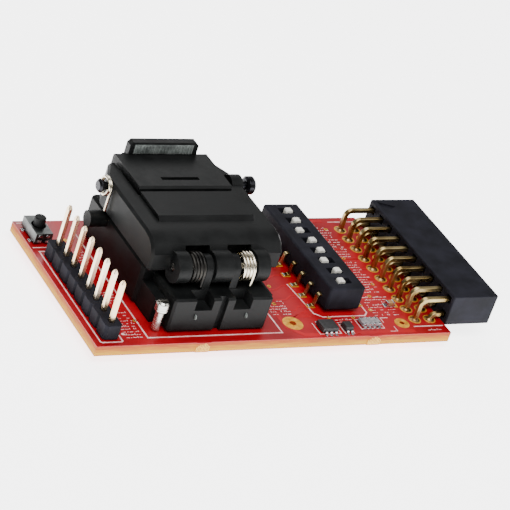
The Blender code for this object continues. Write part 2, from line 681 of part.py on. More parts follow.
def make_latch_hardware():
    """The headed pin that the latch swings on, and its coil spring on the left."""
    origin = (SOCKET_X, LATCH_Y, LATCH_Z)
    inner, outer = PIN_HEAD_SPAN
    pin = solid("latch_pin", STEEL, origin,
                along_pin(LATCH_Y, LATCH_Z, LATCH_PIN_R, -inner - 0.1, inner + 0.1))
    heads = [tool("join_pin_head", origin, along_pin(LATCH_Y, LATCH_Z, PIN_HEAD_R, inner, outer, 16)),
             tool("join_pin_end", origin, along_pin(LATCH_Y, LATCH_Z, PIN_END_R, -PIN_END_REACH, -inner, 16))]
    for head in heads:
        soften(head, 0.3)
    combine(pin, "UNION", *heads)
    solid("latch_spring", STEEL, origin,
          ring((LATCH_Y, LATCH_Z), 1.45, 0.95, "X", SOCKET_X - inner + 0.12, SOCKET_X - LID_HALF - 0.12, 16))


# Small parts soldered to the board

def make_chip(name, material, middle, size, edge):
    """A low moulded block standing just off the board."""
    low = (middle[0] - size[0] / 2, middle[1] - size[1] / 2, BOARD_T + GAP / 3)
    high = (middle[0] + size[0] / 2, middle[1] + size[1] / 2, BOARD_T + GAP / 3 + size[2])
    made = solid(name, material, (middle[0], middle[1], BOARD_T), box(low, high))
    soften(made, edge)


make_board()
make_header()
make_connector()
make_slide_switch()
make_push_button()
make_socket_base()
make_socket_inside()
make_socket_screw()
make_hinge_hardware()
make_lid()
make_pressure_pad()
make_latch()
make_latch_hardware()
make_chip("logic_chip", EPOXY, (37.2, 2.0), (2.6, 2.2, 0.8), 0.08)
make_chip("transistor", EPOXY, (40.4, 1.75), (1.3, 1.5, 0.8), 0.08)
make_chip("resistor_array", CERAMIC, (44.8, 2.7), (3.2, 1.6, 0.55), 0.08)
make_chip("capacitor", CERAMIC, (50.6, 6.9), (1.2, 0.8, 0.7), 0.08)
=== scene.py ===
"""Finished looks of a socket adapter board: a red circuit board with a clamshell chip socket, a pin header, a
slide switch, a push button and a right-angle connector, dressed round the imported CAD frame.

Sizes are millimetres in the board's own frame: X right along the front edge, Y back, Z up, from the board's
front-left-bottom corner. They become metres in the frame's place when a mesh is made.
"""

import json
import logging
from dataclasses import dataclass
from enum import Enum
from typing import Any, Sequence

import bmesh
import bpy
import numpy as np
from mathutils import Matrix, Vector

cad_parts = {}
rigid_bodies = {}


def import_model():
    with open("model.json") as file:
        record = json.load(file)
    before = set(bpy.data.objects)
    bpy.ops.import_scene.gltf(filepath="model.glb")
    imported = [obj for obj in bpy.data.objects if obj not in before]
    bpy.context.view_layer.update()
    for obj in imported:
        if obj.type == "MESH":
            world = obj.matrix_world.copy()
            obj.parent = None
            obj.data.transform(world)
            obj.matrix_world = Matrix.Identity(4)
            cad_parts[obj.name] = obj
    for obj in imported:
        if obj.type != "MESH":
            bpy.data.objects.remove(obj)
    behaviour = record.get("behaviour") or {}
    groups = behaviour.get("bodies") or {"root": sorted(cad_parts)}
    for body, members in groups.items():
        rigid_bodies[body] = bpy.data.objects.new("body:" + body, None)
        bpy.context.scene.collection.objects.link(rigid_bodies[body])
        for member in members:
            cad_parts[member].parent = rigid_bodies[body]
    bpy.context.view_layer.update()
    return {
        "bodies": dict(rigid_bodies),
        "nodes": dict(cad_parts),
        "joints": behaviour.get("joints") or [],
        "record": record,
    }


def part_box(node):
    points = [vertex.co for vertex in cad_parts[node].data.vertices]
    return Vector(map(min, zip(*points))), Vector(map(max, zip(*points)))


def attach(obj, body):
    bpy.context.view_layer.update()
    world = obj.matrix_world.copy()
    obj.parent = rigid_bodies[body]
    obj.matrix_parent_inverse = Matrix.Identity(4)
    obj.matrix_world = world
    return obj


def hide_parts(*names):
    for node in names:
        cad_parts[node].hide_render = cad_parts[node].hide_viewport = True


Array = np.ndarray
Material = bpy.types.Material
Mesh = bpy.types.Mesh
Node = bpy.types.Node
Object = bpy.types.Object
Socket = bpy.types.NodeSocket
Tree = bpy.types.NodeTree
LOG = logging.getLogger("adapter_board")

MM = 0.001
PITCH = 2.54
BOARD_TOP = 1.6
BOARD_DEPTH = 29.5
HEADER_WAYS = 8
SWITCH_WAYS = 8
SWITCH_FRONT_Y = 7.41
CONNECTOR_ROWS = 10
CONNECTOR_FRONT_Y = 3.36


# Mesh building. Edges flatter than SMOOTH_BELOW degrees are shaded smooth; points closer than SAME_POINT, or
# SAME_CORNER on a CAD node, in metres, are one point; FLATTEST makes a face's normals follow its large faces.
SMOOTH_BELOW = 40.0
EDGE_SEGMENTS = 2
SAME_POINT = 1e-8
SAME_CORNER = 1e-6
FLATTEST = 100


def arc(centre: tuple[float, float], radius: float, start: float, end: float, count: int) -> Array:
    """Points on a circular arc: centre plus radius times the cosine and sine of evenly spaced angles.

    Args:
        centre: the arc's centre in its plane.
        radius: its radius.
        start: first angle in degrees.
        end: last angle in degrees.
        count: number of points.

    Returns:
        An array of shape (count, 2).
    """
    turn = np.radians(np.linspace(start, end, count))
    return np.stack([centre[0] + radius * np.cos(turn), centre[1] + radius * np.sin(turn)], axis=1)


def rounded_plan(half: tuple[float, float], radius: float, count: int = 4) -> Array:
    """Closed outline of a rectangle with round corners: a quarter circle about each corner's centre.

    Args:
        half: half sizes along the two axes.
        radius: corner radius.
        count: points in each corner.

    Returns:
        An array of shape (4 * count, 2), anticlockwise.
    """
    radius = max(min(radius, half[0] * 0.999, half[1] * 0.999), 1e-4)
    cx, cy = half[0] - radius, half[1] - radius
    quarters = [((cx, cy), 0), ((-cx, cy), 90), ((-cx, -cy), 180), ((cx, -cy), 270)]
    return np.concatenate([arc(c, radius, a, a + 90, count) for c, a in quarters])


class Axis(Enum):
    """The direction that a turned shape's axis runs along, as a column order."""

    X = (2, 0, 1)
    Y = (1, 2, 0)
    Z = (0, 1, 2)


class Shape:
    """Grids of points gathered into one mesh, each as whole arrays."""

    def __init__(self) -> None:
        """Starts with nothing in it."""
        self.points: list[Array] = []
        self.faces: list[list[int]] = []
        self.count = 0

    def grid(self, points: Array, wrap: bool = True, caps: bool = True) -> None:
        """Adds a grid as quads: row r and r + 1, column c and c + 1 make one face.

        Args:
            points: array of shape (rows, columns, 3).
            wrap: whether the last column joins the first.
            caps: whether the first and last rows are each closed by one face.
        """
        rows, columns = points.shape[:2]
        index = self.count + np.arange(rows * columns).reshape(rows, columns)
        across = np.roll(index, -1, axis=1)
        last = columns if wrap else columns - 1
        quads = np.stack([index[:-1, :last], across[:-1, :last],
                          across[1:, :last], index[1:, :last]], axis=-1)
        self.faces += quads.reshape(-1, 4).tolist()
        if caps:
            self.faces += [index[0, ::-1].tolist(), index[-1].tolist()]
        self.points.append(points.reshape(-1, 3))
        self.count += rows * columns

    def block(self, low: Sequence[float], high: Sequence[float], corner: float = 0.0,
              edge: float = 0.0) -> None:
        """Adds a block with round upright corners and rounded rims: its plan shrinks by a quarter-circle law
        at both ends of its height.

        Args:
            low: lowest corner.
            high: highest corner.
            corner: radius of the upright corners.
            edge: radius of the rims.
        """
        a, b = np.asarray(low, float), np.asarray(high, float)
        middle, half = (a + b) / 2, (b - a) / 2
        edge = min(edge, half.min() * 0.9)
        turn = np.radians(np.linspace(0, 90, 4)) if edge > 0 else np.array([np.pi / 2])
        rise, inset = edge * (1 - np.cos(turn)), edge * (1 - np.sin(turn))
        levels = np.concatenate([a[2] + rise, (b[2] - rise)[::-1]])
        insets = np.concatenate([inset, inset[::-1]])
        rows = []
        for level, shrink in zip(levels, insets):
            plan = rounded_plan((half[0] - shrink, half[1] - shrink), max(corner - shrink, 0.02))
            rows.append(np.column_stack([plan + middle[:2], np.full(len(plan), level)]))
        self.grid(np.stack(rows))

    def turned(self, centre: Sequence[float], profile: Sequence[tuple[float, float]], axis: Axis = Axis.Z,
               sides: int = 24) -> None:
        """Adds a turned shape: each profile point (radius, height) makes a circle round the axis.

        Args:
            centre: the point that heights and radii are measured from.
            profile: radii and heights from one end to the other.
            axis: direction of the axis.
            sides: points round each circle.
        """
        turn = np.linspace(0, 2 * np.pi, sides, endpoint=False)
        radius, height = np.asarray(profile, float).T
        ring = np.stack([np.cos(turn), np.sin(turn)], axis=1)
        grid = np.concatenate([radius[:, None, None] * ring[None], np.broadcast_to(
            height[:, None, None], (len(height), sides, 1))], axis=2)
        placed = np.empty_like(grid)
        placed[..., list(axis.value)] = grid
        self.grid(placed + np.asarray(centre, float))

    def washer(self, centre: Sequence[float], inner: float, outer: float, height: float,
               sides: int = 28) -> None:
        """Adds a flat ring with sloping rims: a four-sided section of radii and heights carried once round an
        upright axis, each point at its radius times the turn's cosine and sine.

        Args:
            centre: the point that radii and heights are measured from.
            inner: radius of the hole.
            outer: radius of the ring.
            height: its thickness, above the centre or, if negative, below it.
            sides: points round the ring.
        """
        slope = abs(height) / 2
        section = np.array([(inner, 0), (outer, 0), (outer - slope, height), (inner + slope, height)])
        turn = np.linspace(0, 2 * np.pi, sides, endpoint=False)
        ring = np.stack([np.cos(turn), np.sin(turn)], axis=1)
        heights = np.broadcast_to(section[None, :, 1:], (sides, len(section), 1))
        placed = np.concatenate([ring[:, None, :] * section[None, :, :1], heights], axis=2)
        placed += np.asarray(centre, float)
        self.grid(np.concatenate([placed, placed[:1]]), caps=False)

    def swept(self, path: Array, across: Array, section: Array) -> None:
        """Carries a closed section along a path: each point is the path plus across times the section's first
        coordinate plus (tangent x across) times its second.

        Args:
            path: array (n, 3).
            across: one direction (3,) or one for each point (n, 3), square to the path.
            section: closed outline, array (m, 2).
        """
        path = np.asarray(path, float)
        tangent = np.gradient(path, axis=0)
        tangent /= np.linalg.norm(tangent, axis=1, keepdims=True)
        across = np.broadcast_to(np.asarray(across, float), path.shape)
        other = np.cross(tangent, across)
        other /= np.linalg.norm(other, axis=1, keepdims=True)
        across = np.cross(other, tangent)
        grid = path[:, None] + section[None, :, :1] * across[:, None] + section[None, :, 1:] * other[:, None]
        self.grid(grid)

    def line(self, points: Sequence[tuple[float, float]], width: float, low: float, high: float) -> None:
        """Adds a flat mitred line: every bend's edge lies on the half-way direction between its two runs. A
        course that ends where it starts is closed.

        Args:
            points: its course in plan.
            width: its width.
            low: height of its lower face.
            high: height of its upper face.
        """
        course = np.asarray(points, float)
        run = np.diff(course, axis=0)
        run /= np.linalg.norm(run, axis=1, keepdims=True)
        side = np.column_stack([-run[:, 1], run[:, 0]])
        closed = bool(np.allclose(course[0], course[-1]))
        before, after = (side[-1:], side[:1]) if closed else (side[:1], side[-1:])
        first, second = np.vstack([before, side]), np.vstack([side, after])
        mitre = (first + second) / (1 + np.sum(first * second, axis=1, keepdims=True)) * width / 2
        left, right = course + mitre, course - mitre
        lows, highs = np.full((len(course), 1), low), np.full((len(course), 1), high)
        corners = [np.hstack([left, highs]), np.hstack([left, lows]), np.hstack([right, lows]),
                   np.hstack([right, highs])]
        self.grid(np.stack(corners, axis=1), caps=not closed)


class Bench:
    """Where pieces are made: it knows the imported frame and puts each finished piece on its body."""

    def __init__(self, frame: dict[str, Any]) -> None:
        """Reads bodies, slots and the board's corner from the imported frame.
        """
        record = frame["record"]
        self.nodes: dict[str, Object] = frame["nodes"]
        self.body_of = {n: b for b, members in record["behaviour"]["bodies"].items() for n in members}
        self.slot_of = {row["node"]: row["material_slot"] for row in record["subparts"]}
        low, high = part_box("circuit_board")
        self.origin = np.array([low[0], high[1] - BOARD_DEPTH * MM, low[2]])

    def box(self, node: str) -> tuple[Array, Array]:
        """Returns a CAD node's lowest and highest corners in board millimetres."""
        low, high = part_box(node)
        return (np.array(low) - self.origin) / MM, (np.array(high) - self.origin) / MM

    def make(self, name: str, shape: Shape, finish: "Finish", body: str, slot: str,
             replaces: Sequence[str] = ()) -> Object:
        """Turns a shape into a mesh object, dresses it and puts it on its body.

        Args:
            name: the piece's name.
            shape: its surfaces in board millimetres.
            finish: its material.
            body: the CAD body it moves with.
            slot: the record's material slot.
            replaces: CAD nodes that it stands for.

        Returns:
            The new object.
        """
        mesh = bpy.data.meshes.new(name)
        points = np.concatenate(shape.points) * MM + self.origin
        mesh.from_pydata(points.tolist(), [], shape.faces)
        self._clean(mesh)
        return self._dress(name, mesh, finish, body, slot, replaces)

    def refine(self, node: str, finish: "Finish", width: float, angle: float = 32.0) -> Object:
        """Copies a CAD node, merges its loose triangles and gives its edges the real part's small radius.

        Args:
            node: the CAD node.
            finish: its material.
            width: edge radius in millimetres.
            angle: edges sharper than this angle in degrees are rounded.

        Returns:
            The new object, which replaces the node.
        """
        mesh = self.nodes[node].data.copy()
        mesh.materials.clear()
        shell = bmesh.new()
        shell.from_mesh(mesh)
        bmesh.ops.remove_doubles(shell, verts=shell.verts, dist=SAME_CORNER)
        bmesh.ops.dissolve_limit(shell, angle_limit=np.radians(1), verts=shell.verts, edges=shell.edges)
        shell.to_mesh(mesh)
        shell.free()
        piece = self._dress("fine_" + node, mesh, finish, self.body_of[node], self.slot_of[node], (node,))
        bevel = piece.modifiers.new("edges", "BEVEL")
        bevel.width = width * MM
        bevel.segments = EDGE_SEGMENTS
        bevel.limit_method = "ANGLE"
        bevel.angle_limit = np.radians(angle)
        level = piece.modifiers.new("flat_faces", "WEIGHTED_NORMAL")
        level.weight = FLATTEST
        level.keep_sharp = True
        return piece

    @staticmethod
    def _clean(mesh: Mesh) -> None:
        """Merges points that meet and turns every face outwards."""
        shell = bmesh.new()
        shell.from_mesh(mesh)
        bmesh.ops.remove_doubles(shell, verts=shell.verts, dist=SAME_POINT)
        bmesh.ops.recalc_face_normals(shell, faces=shell.faces)
        shell.to_mesh(mesh)
        shell.free()

    @staticmethod
    def _dress(name: str, mesh: Mesh, finish: "Finish", body: str, slot: str,
               replaces: Sequence[str]) -> Object:
        """Gives a mesh its object, shading, material, body and slot.

        Args:
            name: the piece's name.
            mesh: its mesh, in place.
            finish: its material.
            body: the CAD body it moves with.
            slot: the record's material slot.
            replaces: CAD nodes that it stands for.

        Returns:
            The new object.
        """
        mesh.polygons.foreach_set("use_smooth", np.ones(len(mesh.polygons), bool))
        mesh.set_sharp_from_angle(angle=np.radians(SMOOTH_BELOW))
        mesh.materials.append(finish.material())
        piece = bpy.data.objects.new(name, mesh)
        bpy.context.scene.collection.objects.link(piece)
        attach(piece, body)
        if replaces:
            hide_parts(*replaces)
        LOG.info("%s: %d faces on %s", name, len(mesh.polygons), body)
        return piece


# Finishes

def linear(code: str) -> tuple[float, float, float, float]:
    """Turns an sRGB hex colour into linear RGBA: below 0.04045 a straight line, above it a 2.4 power."""
    value = np.array([int(code[i:i + 2], 16) for i in (1, 3, 5)]) / 255
    flat = np.where(value <= 0.04045, value / 12.92, ((value + 0.055) / 1.055) ** 2.4)
    return (*flat.tolist(), 1.0)


def per_metre(size: float) -> float:
    """Returns the texture scale that gives a pattern whose grains are size millimetres across."""
    return 1.0 / (size * MM)


def add(tree: Tree, kind: str, inputs: dict[Any, Any] | None = None, **settings: Any) -> Node:
    """Adds a node.

    Args:
        tree: the material's tree.
        kind: the node's type.
        inputs: values or sockets for its inputs, by name or number.
        settings: the node's own settings.

    Returns:
        The node.
    """
    node = tree.nodes.new(kind)
    for name, value in settings.items():
        setattr(node, name, value)
    for key, value in (inputs or {}).items():
        if isinstance(value, Socket):
            tree.links.new(value, node.inputs[key])
        else:
            node.inputs[key].default_value = value
    return node


# Input numbers of a Mix node: its share, its two colours, and its two plain numbers.
SHARE = 0
COLOUR_A, COLOUR_B = 6, 7
NUMBER_A, NUMBER_B = 2, 3


@dataclass(frozen=True)
class Finish:
    """What every finish shares: a name, two colours that its surface wanders between, and its gloss. In
    millimetres, patch_mm and grain_mm are a cloudy patch's and a grain's width, grain_depth_mm its height."""

    name: str
    light: str
    dark: str
    roughness: float
    spread: float = 0.06
    metallic: float = 0.0
    ior: float = 1.5
    patch_mm: float = 3.0
    grain_mm: float = 0.15
    grain_depth_mm: float = 0.004
    glow: float = 0.0
    specular: float = 0.5

    def material(self) -> Material:
        """Returns the Blender material of this finish, made once."""
        found = bpy.data.materials.get(self.name)
        if found:
            return found
        made = bpy.data.materials.new(self.name)
        made.use_nodes = True
        tree = made.node_tree
        tree.nodes.clear()
        shader = add(tree, "ShaderNodeBsdfPrincipled", {"Metallic": self.metallic})
        if self.metallic < 0.5:
            shader.inputs["IOR"].default_value = self.ior
            shader.inputs["Specular IOR Level"].default_value = self.specular
        if self.glow:
            shader.inputs["Emission Color"].default_value = linear(self.light)
            shader.inputs["Emission Strength"].default_value = self.glow
        add(tree, "ShaderNodeOutputMaterial", {"Surface": shader.outputs["BSDF"]})
        place = add(tree, "ShaderNodeTexCoord").outputs["Object"]
        colour, rough, height = self.pattern(tree, place)
        tree.links.new(colour, shader.inputs["Base Color"])
        tree.links.new(rough, shader.inputs["Roughness"])
        bump = add(tree, "ShaderNodeBump", {"Height": height, "Distance": self.grain_depth_mm * MM})
        tree.links.new(bump.outputs["Normal"], shader.inputs["Normal"])
        made.diffuse_color = linear(self.light)
        return made

    def pattern(self, tree: Tree, place: Socket) -> tuple[Socket, Socket, Socket]:
        """Draws the surface: cloudy patches move its colour and gloss, and a fine grain gives its height.

        Args:
            tree: the material's tree.
            place: Object coordinates.

        Returns:
            Sockets for colour, roughness and height.
        """
        patches = add(tree, "ShaderNodeTexNoise",
                      {"Vector": place, "Scale": per_metre(self.patch_mm), "Detail": 5.0})
        grain = add(tree, "ShaderNodeTexNoise",
                    {"Vector": place, "Scale": per_metre(self.grain_mm), "Detail": 3.0})
        cloud = patches.outputs["Fac"]
        share = add(tree, "ShaderNodeMapRange", {"Value": cloud, "From Min": 0.35, "From Max": 0.65})
        colour = add(tree, "ShaderNodeMix",
                     {SHARE: share.outputs["Result"], COLOUR_A: linear(self.dark),
                      COLOUR_B: linear(self.light)}, data_type="RGBA")
        rough = add(tree, "ShaderNodeMapRange",
                    {"Value": cloud, "From Min": 0.3, "From Max": 0.7,
                     "To Min": self.roughness - self.spread, "To Max": self.roughness + self.spread})
        return colour.outputs[2], rough.outputs["Result"], grain.outputs["Fac"]


@dataclass(frozen=True)
class BoardFinish(Finish):
    """Epoxy solder mask sprayed over copper on a glass-epoxy laminate: glossy red faces with a faint orange
    peel, and a sawn edge whose glass-cloth layers run from straw yellow at the foot to burnt orange under the
    mask. Heights are measured from the tips of the solder tails."""

    edge_light: str = "#BC8600"
    edge_dark: str = "#983E00"
    edge_roughness: float = 0.75
    low_mm: float = 1.2
    high_mm: float = 2.8
    skin_mm: float = 0.1
    fade_mm: float = 0.3
    layer_mm: float = 0.35
    weave_mm: float = 0.7

    def pattern(self, tree: Tree, place: Socket) -> tuple[Socket, Socket, Socket]:
        """Adds the sawn edge between the two masked faces: where the height lies inside both skins, the
        colour runs from edge_light to edge_dark, wavering by a noise that is stretched along the layers.

        Args:
            tree: the material's tree.
            place: Object coordinates.

        Returns:
            Sockets for colour, roughness and height.
        """
        colour, rough, height = super().pattern(tree, place)
        level = add(tree, "ShaderNodeSeparateXYZ", {"Vector": place}).outputs["Z"]
        above = add(tree, "ShaderNodeMath", {0: level, 1: (self.low_mm + self.skin_mm) * MM},
                    operation="GREATER_THAN")
        below = add(tree, "ShaderNodeMath", {0: level, 1: (self.high_mm - self.skin_mm) * MM},
                    operation="LESS_THAN")
        inside = add(tree, "ShaderNodeMath", {0: above.outputs[0], 1: below.outputs[0]}, operation="MULTIPLY")
        stretch = add(tree, "ShaderNodeMapping", {"Vector": place, "Scale": (0.25, 0.25, 3.0)})
        layers = add(tree, "ShaderNodeTexNoise",
                     {"Vector": stretch.outputs[0], "Scale": per_metre(self.weave_mm), "Detail": 4.0})
        waver = add(tree, "ShaderNodeMapRange",
                    {"Value": layers.outputs["Fac"], "From Min": 0.3, "From Max": 0.7,
                     "To Min": -self.layer_mm * MM, "To Max": self.layer_mm * MM})
        shifted = add(tree, "ShaderNodeMath", {0: level, 1: waver.outputs["Result"]}, operation="ADD")
        depth = add(tree, "ShaderNodeMapRange",
                    {"Value": shifted.outputs[0], "From Min": (self.low_mm + self.fade_mm) * MM,
                     "From Max": (self.high_mm - self.fade_mm) * MM})
        sawn = add(tree, "ShaderNodeMix",
                   {SHARE: depth.outputs["Result"], COLOUR_A: linear(self.edge_light),
                    COLOUR_B: linear(self.edge_dark)}, data_type="RGBA")
        both = add(tree, "ShaderNodeMix",
                   {SHARE: inside.outputs[0], COLOUR_A: colour, COLOUR_B: sawn.outputs[2]}, data_type="RGBA")
        gloss = add(tree, "ShaderNodeMix",
                    {SHARE: inside.outputs[0], NUMBER_A: rough, NUMBER_B: self.edge_roughness},
                    data_type="FLOAT")
        return both.outputs[2], gloss.outputs[0], height


@dataclass(frozen=True)
class DrawnMetal(Finish):
    """Plated or drawn metal: fine lines along one axis stretch the grain, and patches dull the shine."""

    stretch: tuple[float, float, float] = (1.0, 1.0, 1.0)

    def pattern(self, tree: Tree, place: Socket) -> tuple[Socket, Socket, Socket]:
        """Stretches the grain along the drawing direction.

        Args:
            tree: the material's tree.
            place: Object coordinates.

        Returns:
            Sockets for colour, roughness and height.
        """
        drawn = add(tree, "ShaderNodeMapping", {"Vector": place, "Scale": self.stretch})
        return super().pattern(tree, drawn.outputs[0])


# Red epoxy solder mask on laminate: deep glossy red, soft sheen of the sprayed coat.
SOLDER_MASK = BoardFinish("red_epoxy_solder_mask", "#AE0014", "#8C000C", 0.34, patch_mm=6.0, grain_mm=0.6,
                          grain_depth_mm=0.01)
# The same mask where it climbs over a copper track: slightly brighter.
MASKED_COPPER = Finish("red_mask_over_copper", "#BE0818", "#A40412", 0.3, patch_mm=4.0, grain_mm=0.5,
                       grain_depth_mm=0.006)
# Raw glass-epoxy where the panel's tabs were snapped off: pale, dry and splintered.
SNAPPED_LAMINATE = Finish("snapped_laminate", "#EFC55A", "#CF9A3A", 0.6, patch_mm=0.3, grain_mm=0.1,
                          grain_depth_mm=0.01)
# Screen-printed legend ink: flat warm white with a slightly chalky face.
LEGEND_INK = Finish("screen_printed_legend", "#F6D9D6", "#E89C9C", 0.6, patch_mm=0.8, grain_mm=0.08)
# Glass-filled polyester of the header and connector: blue-black, satin, with a spark-eroded grain.
MOULDED_PBT = Finish("moulded_polyester_black", "#23232A", "#18181D", 0.58, specular=0.06, patch_mm=2.5,
                     grain_mm=0.14, grain_depth_mm=0.008)
# Glass-filled socket plastic: near black, semi-gloss, with cloudy flow marks from the gate.
SOCKET_PLASTIC = Finish("moulded_socket_plastic", "#181919", "#0C0D0D", 0.46, specular=0.12, spread=0.1,
                        patch_mm=3.5, grain_mm=0.2, grain_depth_mm=0.008)
# The latch's plastic: a shade greyer, duller where fingers press it.
LATCH_PLASTIC = Finish("moulded_latch_plastic", "#161717", "#0D0E0E", 0.46, specular=0.16, spread=0.1,
                       patch_mm=2.0, grain_mm=0.16, grain_depth_mm=0.01)
# The latch tab's grip and the round discs on the sill: paler grey and matt; on the discs the paleness is a
# painted highlight.
PALE_GRIP_AND_GLINT = Finish("pale_grip_and_painted_glint", "#6C726F", "#454A48", 0.55, spread=0.1, patch_mm=1.2, grain_mm=0.16,
                     grain_depth_mm=0.01)
# Nylon sliders: milky white with a soft shine.
WHITE_NYLON = Finish("moulded_nylon_white", "#F4F2EA", "#DEDBD0", 0.38, ior=1.53, patch_mm=0.9, grain_mm=0.1)
# Gold flash over brass: olive-gold wire that dulls in patches.
GOLD_FLASH = DrawnMetal("gold_flashed_brass", "#C2AE7C", "#7E622F", 0.3, spread=0.08, metallic=1.0,
                        patch_mm=1.4, grain_mm=0.12, grain_depth_mm=0.003, stretch=(0.2, 1.0, 0.2))
# Pale gold over nickel on the square header pins: creamy, bright.
PALE_GOLD = DrawnMetal("pale_gold_plated_pin", "#FBE9CC", "#E6C89C", 0.28, spread=0.06, metallic=1.0,
                       patch_mm=1.6, grain_mm=0.12, grain_depth_mm=0.003, stretch=(1.0, 1.0, 0.15))
# Gold pads of immersion plating: matt yellow gold, pebbled by the copper under it.
PAD_GOLD = Finish("immersion_gold_pad", "#FFC24A", "#E09A28", 0.36, spread=0.08, metallic=0.55, patch_mm=0.7,
                  grain_mm=0.12, grain_depth_mm=0.006)
# Tin-lead solder: bright grey, smooth and slightly frosted.
TIN_SOLDER = Finish("bright_tin_solder", "#D9D9DA", "#A9A9AC", 0.24, spread=0.08, metallic=1.0, patch_mm=0.5,
                    grain_mm=0.15, grain_depth_mm=0.008)
# Solder collars on the connector's gold legs, duller and browner than bare solder: the brown paints the shade
# among the legs.
SHADED_COLLAR_GOLD = Finish("collar_gold_painted_shade", "#A8875A", "#6E4E2C", 0.34, spread=0.08, metallic=1.0,
                     patch_mm=0.5, grain_mm=0.12, grain_depth_mm=0.006)
# Cold-drawn spring wire: warm bright steel with lengthwise die lines.
SPRING_WIRE = DrawnMetal("drawn_spring_wire", "#F1E9D6", "#C9BFA8", 0.2, metallic=1.0, patch_mm=0.8,
                         grain_mm=0.1, grain_depth_mm=0.003, stretch=(1.0, 0.4, 0.4))
# The lid's left coil: a darkened copy of the spring steel, painted shade.
SHADED_SPRING_WIRE = DrawnMetal("spring_wire_painted_shade", "#34322F", "#1A1918", 0.4, metallic=0.8, patch_mm=0.8,
                       grain_mm=0.1, grain_depth_mm=0.003, stretch=(1.0, 0.4, 0.4))
# Black-oxide turned steel: the latch pin's heads, soft dark shine.
BLACK_OXIDE = Finish("black_oxide_steel", "#35353A", "#1C1C1F", 0.3, metallic=0.85, patch_mm=0.8,
                     grain_mm=0.1, grain_depth_mm=0.004)
# Turned steel of the screw and hinge pin.
TURNED_STEEL = DrawnMetal("turned_steel", "#DAD7D0", "#A5A19A", 0.24, metallic=1.0, patch_mm=0.9,
                          grain_mm=0.08, grain_depth_mm=0.004, stretch=(0.4, 0.4, 4.0))
# Nickel-plated sheet of the button's cover, darkened to paint the shade on it.
SHADED_NICKEL_SHEET = Finish("nickel_sheet_painted_shade", "#646665", "#454746", 0.34, metallic=1.0, patch_mm=1.2,
                      grain_mm=0.1, grain_depth_mm=0.003)
# Moulded epoxy of the small chips: matt charcoal with tiny glass specks.
CHIP_EPOXY = Finish("moulded_chip_epoxy", "#2C2B2C", "#1B1A1B", 0.55, patch_mm=0.4, grain_mm=0.06)
# Fired alumina with a grey glaze: the resistor array's body.
GREY_CERAMIC = Finish("fired_ceramic_grey", "#9B9898", "#77757A", 0.4, patch_mm=0.5, grain_mm=0.08, ior=1.6)
# Tan fired ceramic of the capacitor.
TAN_CERAMIC = Finish("fired_ceramic_tan", "#B88F5E", "#946C40", 0.38, patch_mm=0.5, grain_mm=0.08, ior=1.6)
# Matt studio paper under the object, lit through from below.
STUDIO_PAPER = Finish("matt_studio_paper", "#FFFFFF", "#FBFBFB", 0.8, patch_mm=60.0, grain_mm=1.5, glow=3.8)

CIRCLE_12 = arc((0.0, 0.0), 1.0, 0, 330, 12)
WETTED_PIN_R = 0.36


def solder_cone(shape: Shape, x: float, y: float, side: float, pad: float = 0.82,
                height: float = 0.75) -> None:
    """Adds one solder fillet: the radius falls from the pad to the pin by the square of the height.

    Args:
        shape: the gathering shape.
        x: pin's place along X.
        y: pin's place along Y.
        side: 1 on the top of the board, -1 under it.
        pad: radius of the wetted pad.
        height: how far the solder climbs.
    """
    share = np.linspace(0, 1, 7)
    radius = WETTED_PIN_R + (pad - WETTED_PIN_R) * (1 - share) ** 2
    base = BOARD_TOP if side > 0 else 0.0
    shape.turned((x, y, base), list(zip(radius, side * (0.01 + height * share))), sides=16)


# Through-plated vias, where tracks change sides.
VIAS = np.array([
    (6.1, 24.6), (7.4, 12.2), (8.2, 5.4), (5.6, 9.7), (31.8, 8.2), (33.2, 12.4), (32.4, 17.6), (34.6, 22.3),
    (33.3, 26.2), (46.9, 6.0), (48.6, 9.3), (47.6, 14.6), (49.5, 18.8), (48.2, 23.4), (46.3, 27.2),
    (50.9, 12.2), (50.6, 26.4), (43.0, 4.4), (39.0, 4.6)])
# Plated fixing holes: place, radius of the hole and radius of its pad.
FIXING_HOLES = ((32.4, 3.5, 0.5, 1.55), (50.4, 2.6, 0.4, 1.15))
# Printed outlines round the header, socket, switch, button, connector and small parts: course and line width.
PRINTED_LINES = (
    ([(0.95, 21.95), (0.95, 1.0), (1.15, 0.8), (4.1, 0.8), (4.3, 1.0), (4.3, 21.95), (0.95, 21.95)], 0.2),
    ([(9.1, 28.4), (8.35, 27.6), (8.35, 1.45), (29.6, 1.45), (29.6, 27.6), (28.9, 28.4)], 0.22),
    ([(36.4, 12.8), (37.0, 5.6), (38.1, 4.7), (45.2, 4.7), (45.9, 5.4), (45.9, 27.6), (36.4, 27.6)], 0.2),
    ([(0.35, 28.9), (4.0, 28.9), (4.0, 22.9), (0.35, 22.9)], 0.18),
    ([(51.9, 1.7), (57.0, 1.7)], 0.18),
    ([(51.9, 28.3), (57.0, 28.3)], 0.18),
    ([(35.5, 3.4), (35.5, 0.75), (39.0, 0.75), (39.0, 3.4)], 0.13),
    ([(42.9, 1.6), (42.9, 3.8), (46.8, 3.8), (46.8, 1.6), (42.9, 1.6)], 0.13),
    ([(39.7, 0.6), (39.7, 2.9), (41.2, 2.9), (41.2, 0.6)], 0.12),
    ([(47.4, 0.8), (48.6, 0.8), (48.6, 1.9)], 0.12),
    ([(47.4, 2.9), (47.4, 4.0), (48.7, 4.0)], 0.12),
)
# Areas filled with short unlettered bars: front left corner and back right corner.
BAR_AREAS = (
    (5.2, 1.6, 8.0, 7.8), (5.3, 9.4, 7.9, 12.4), (5.2, 19.6, 7.9, 22.6), (46.9, 4.6, 51.2, 9.5),
    (47.0, 10.2, 51.2, 18.0), (47.0, 19.2, 51.2, 27.6), (30.3, 5.6, 33.6, 9.4), (30.3, 19.2, 33.6, 27.2),
    (39.6, 3.2, 42.5, 4.2), (53.2, 0.7, 56.8, 1.3))


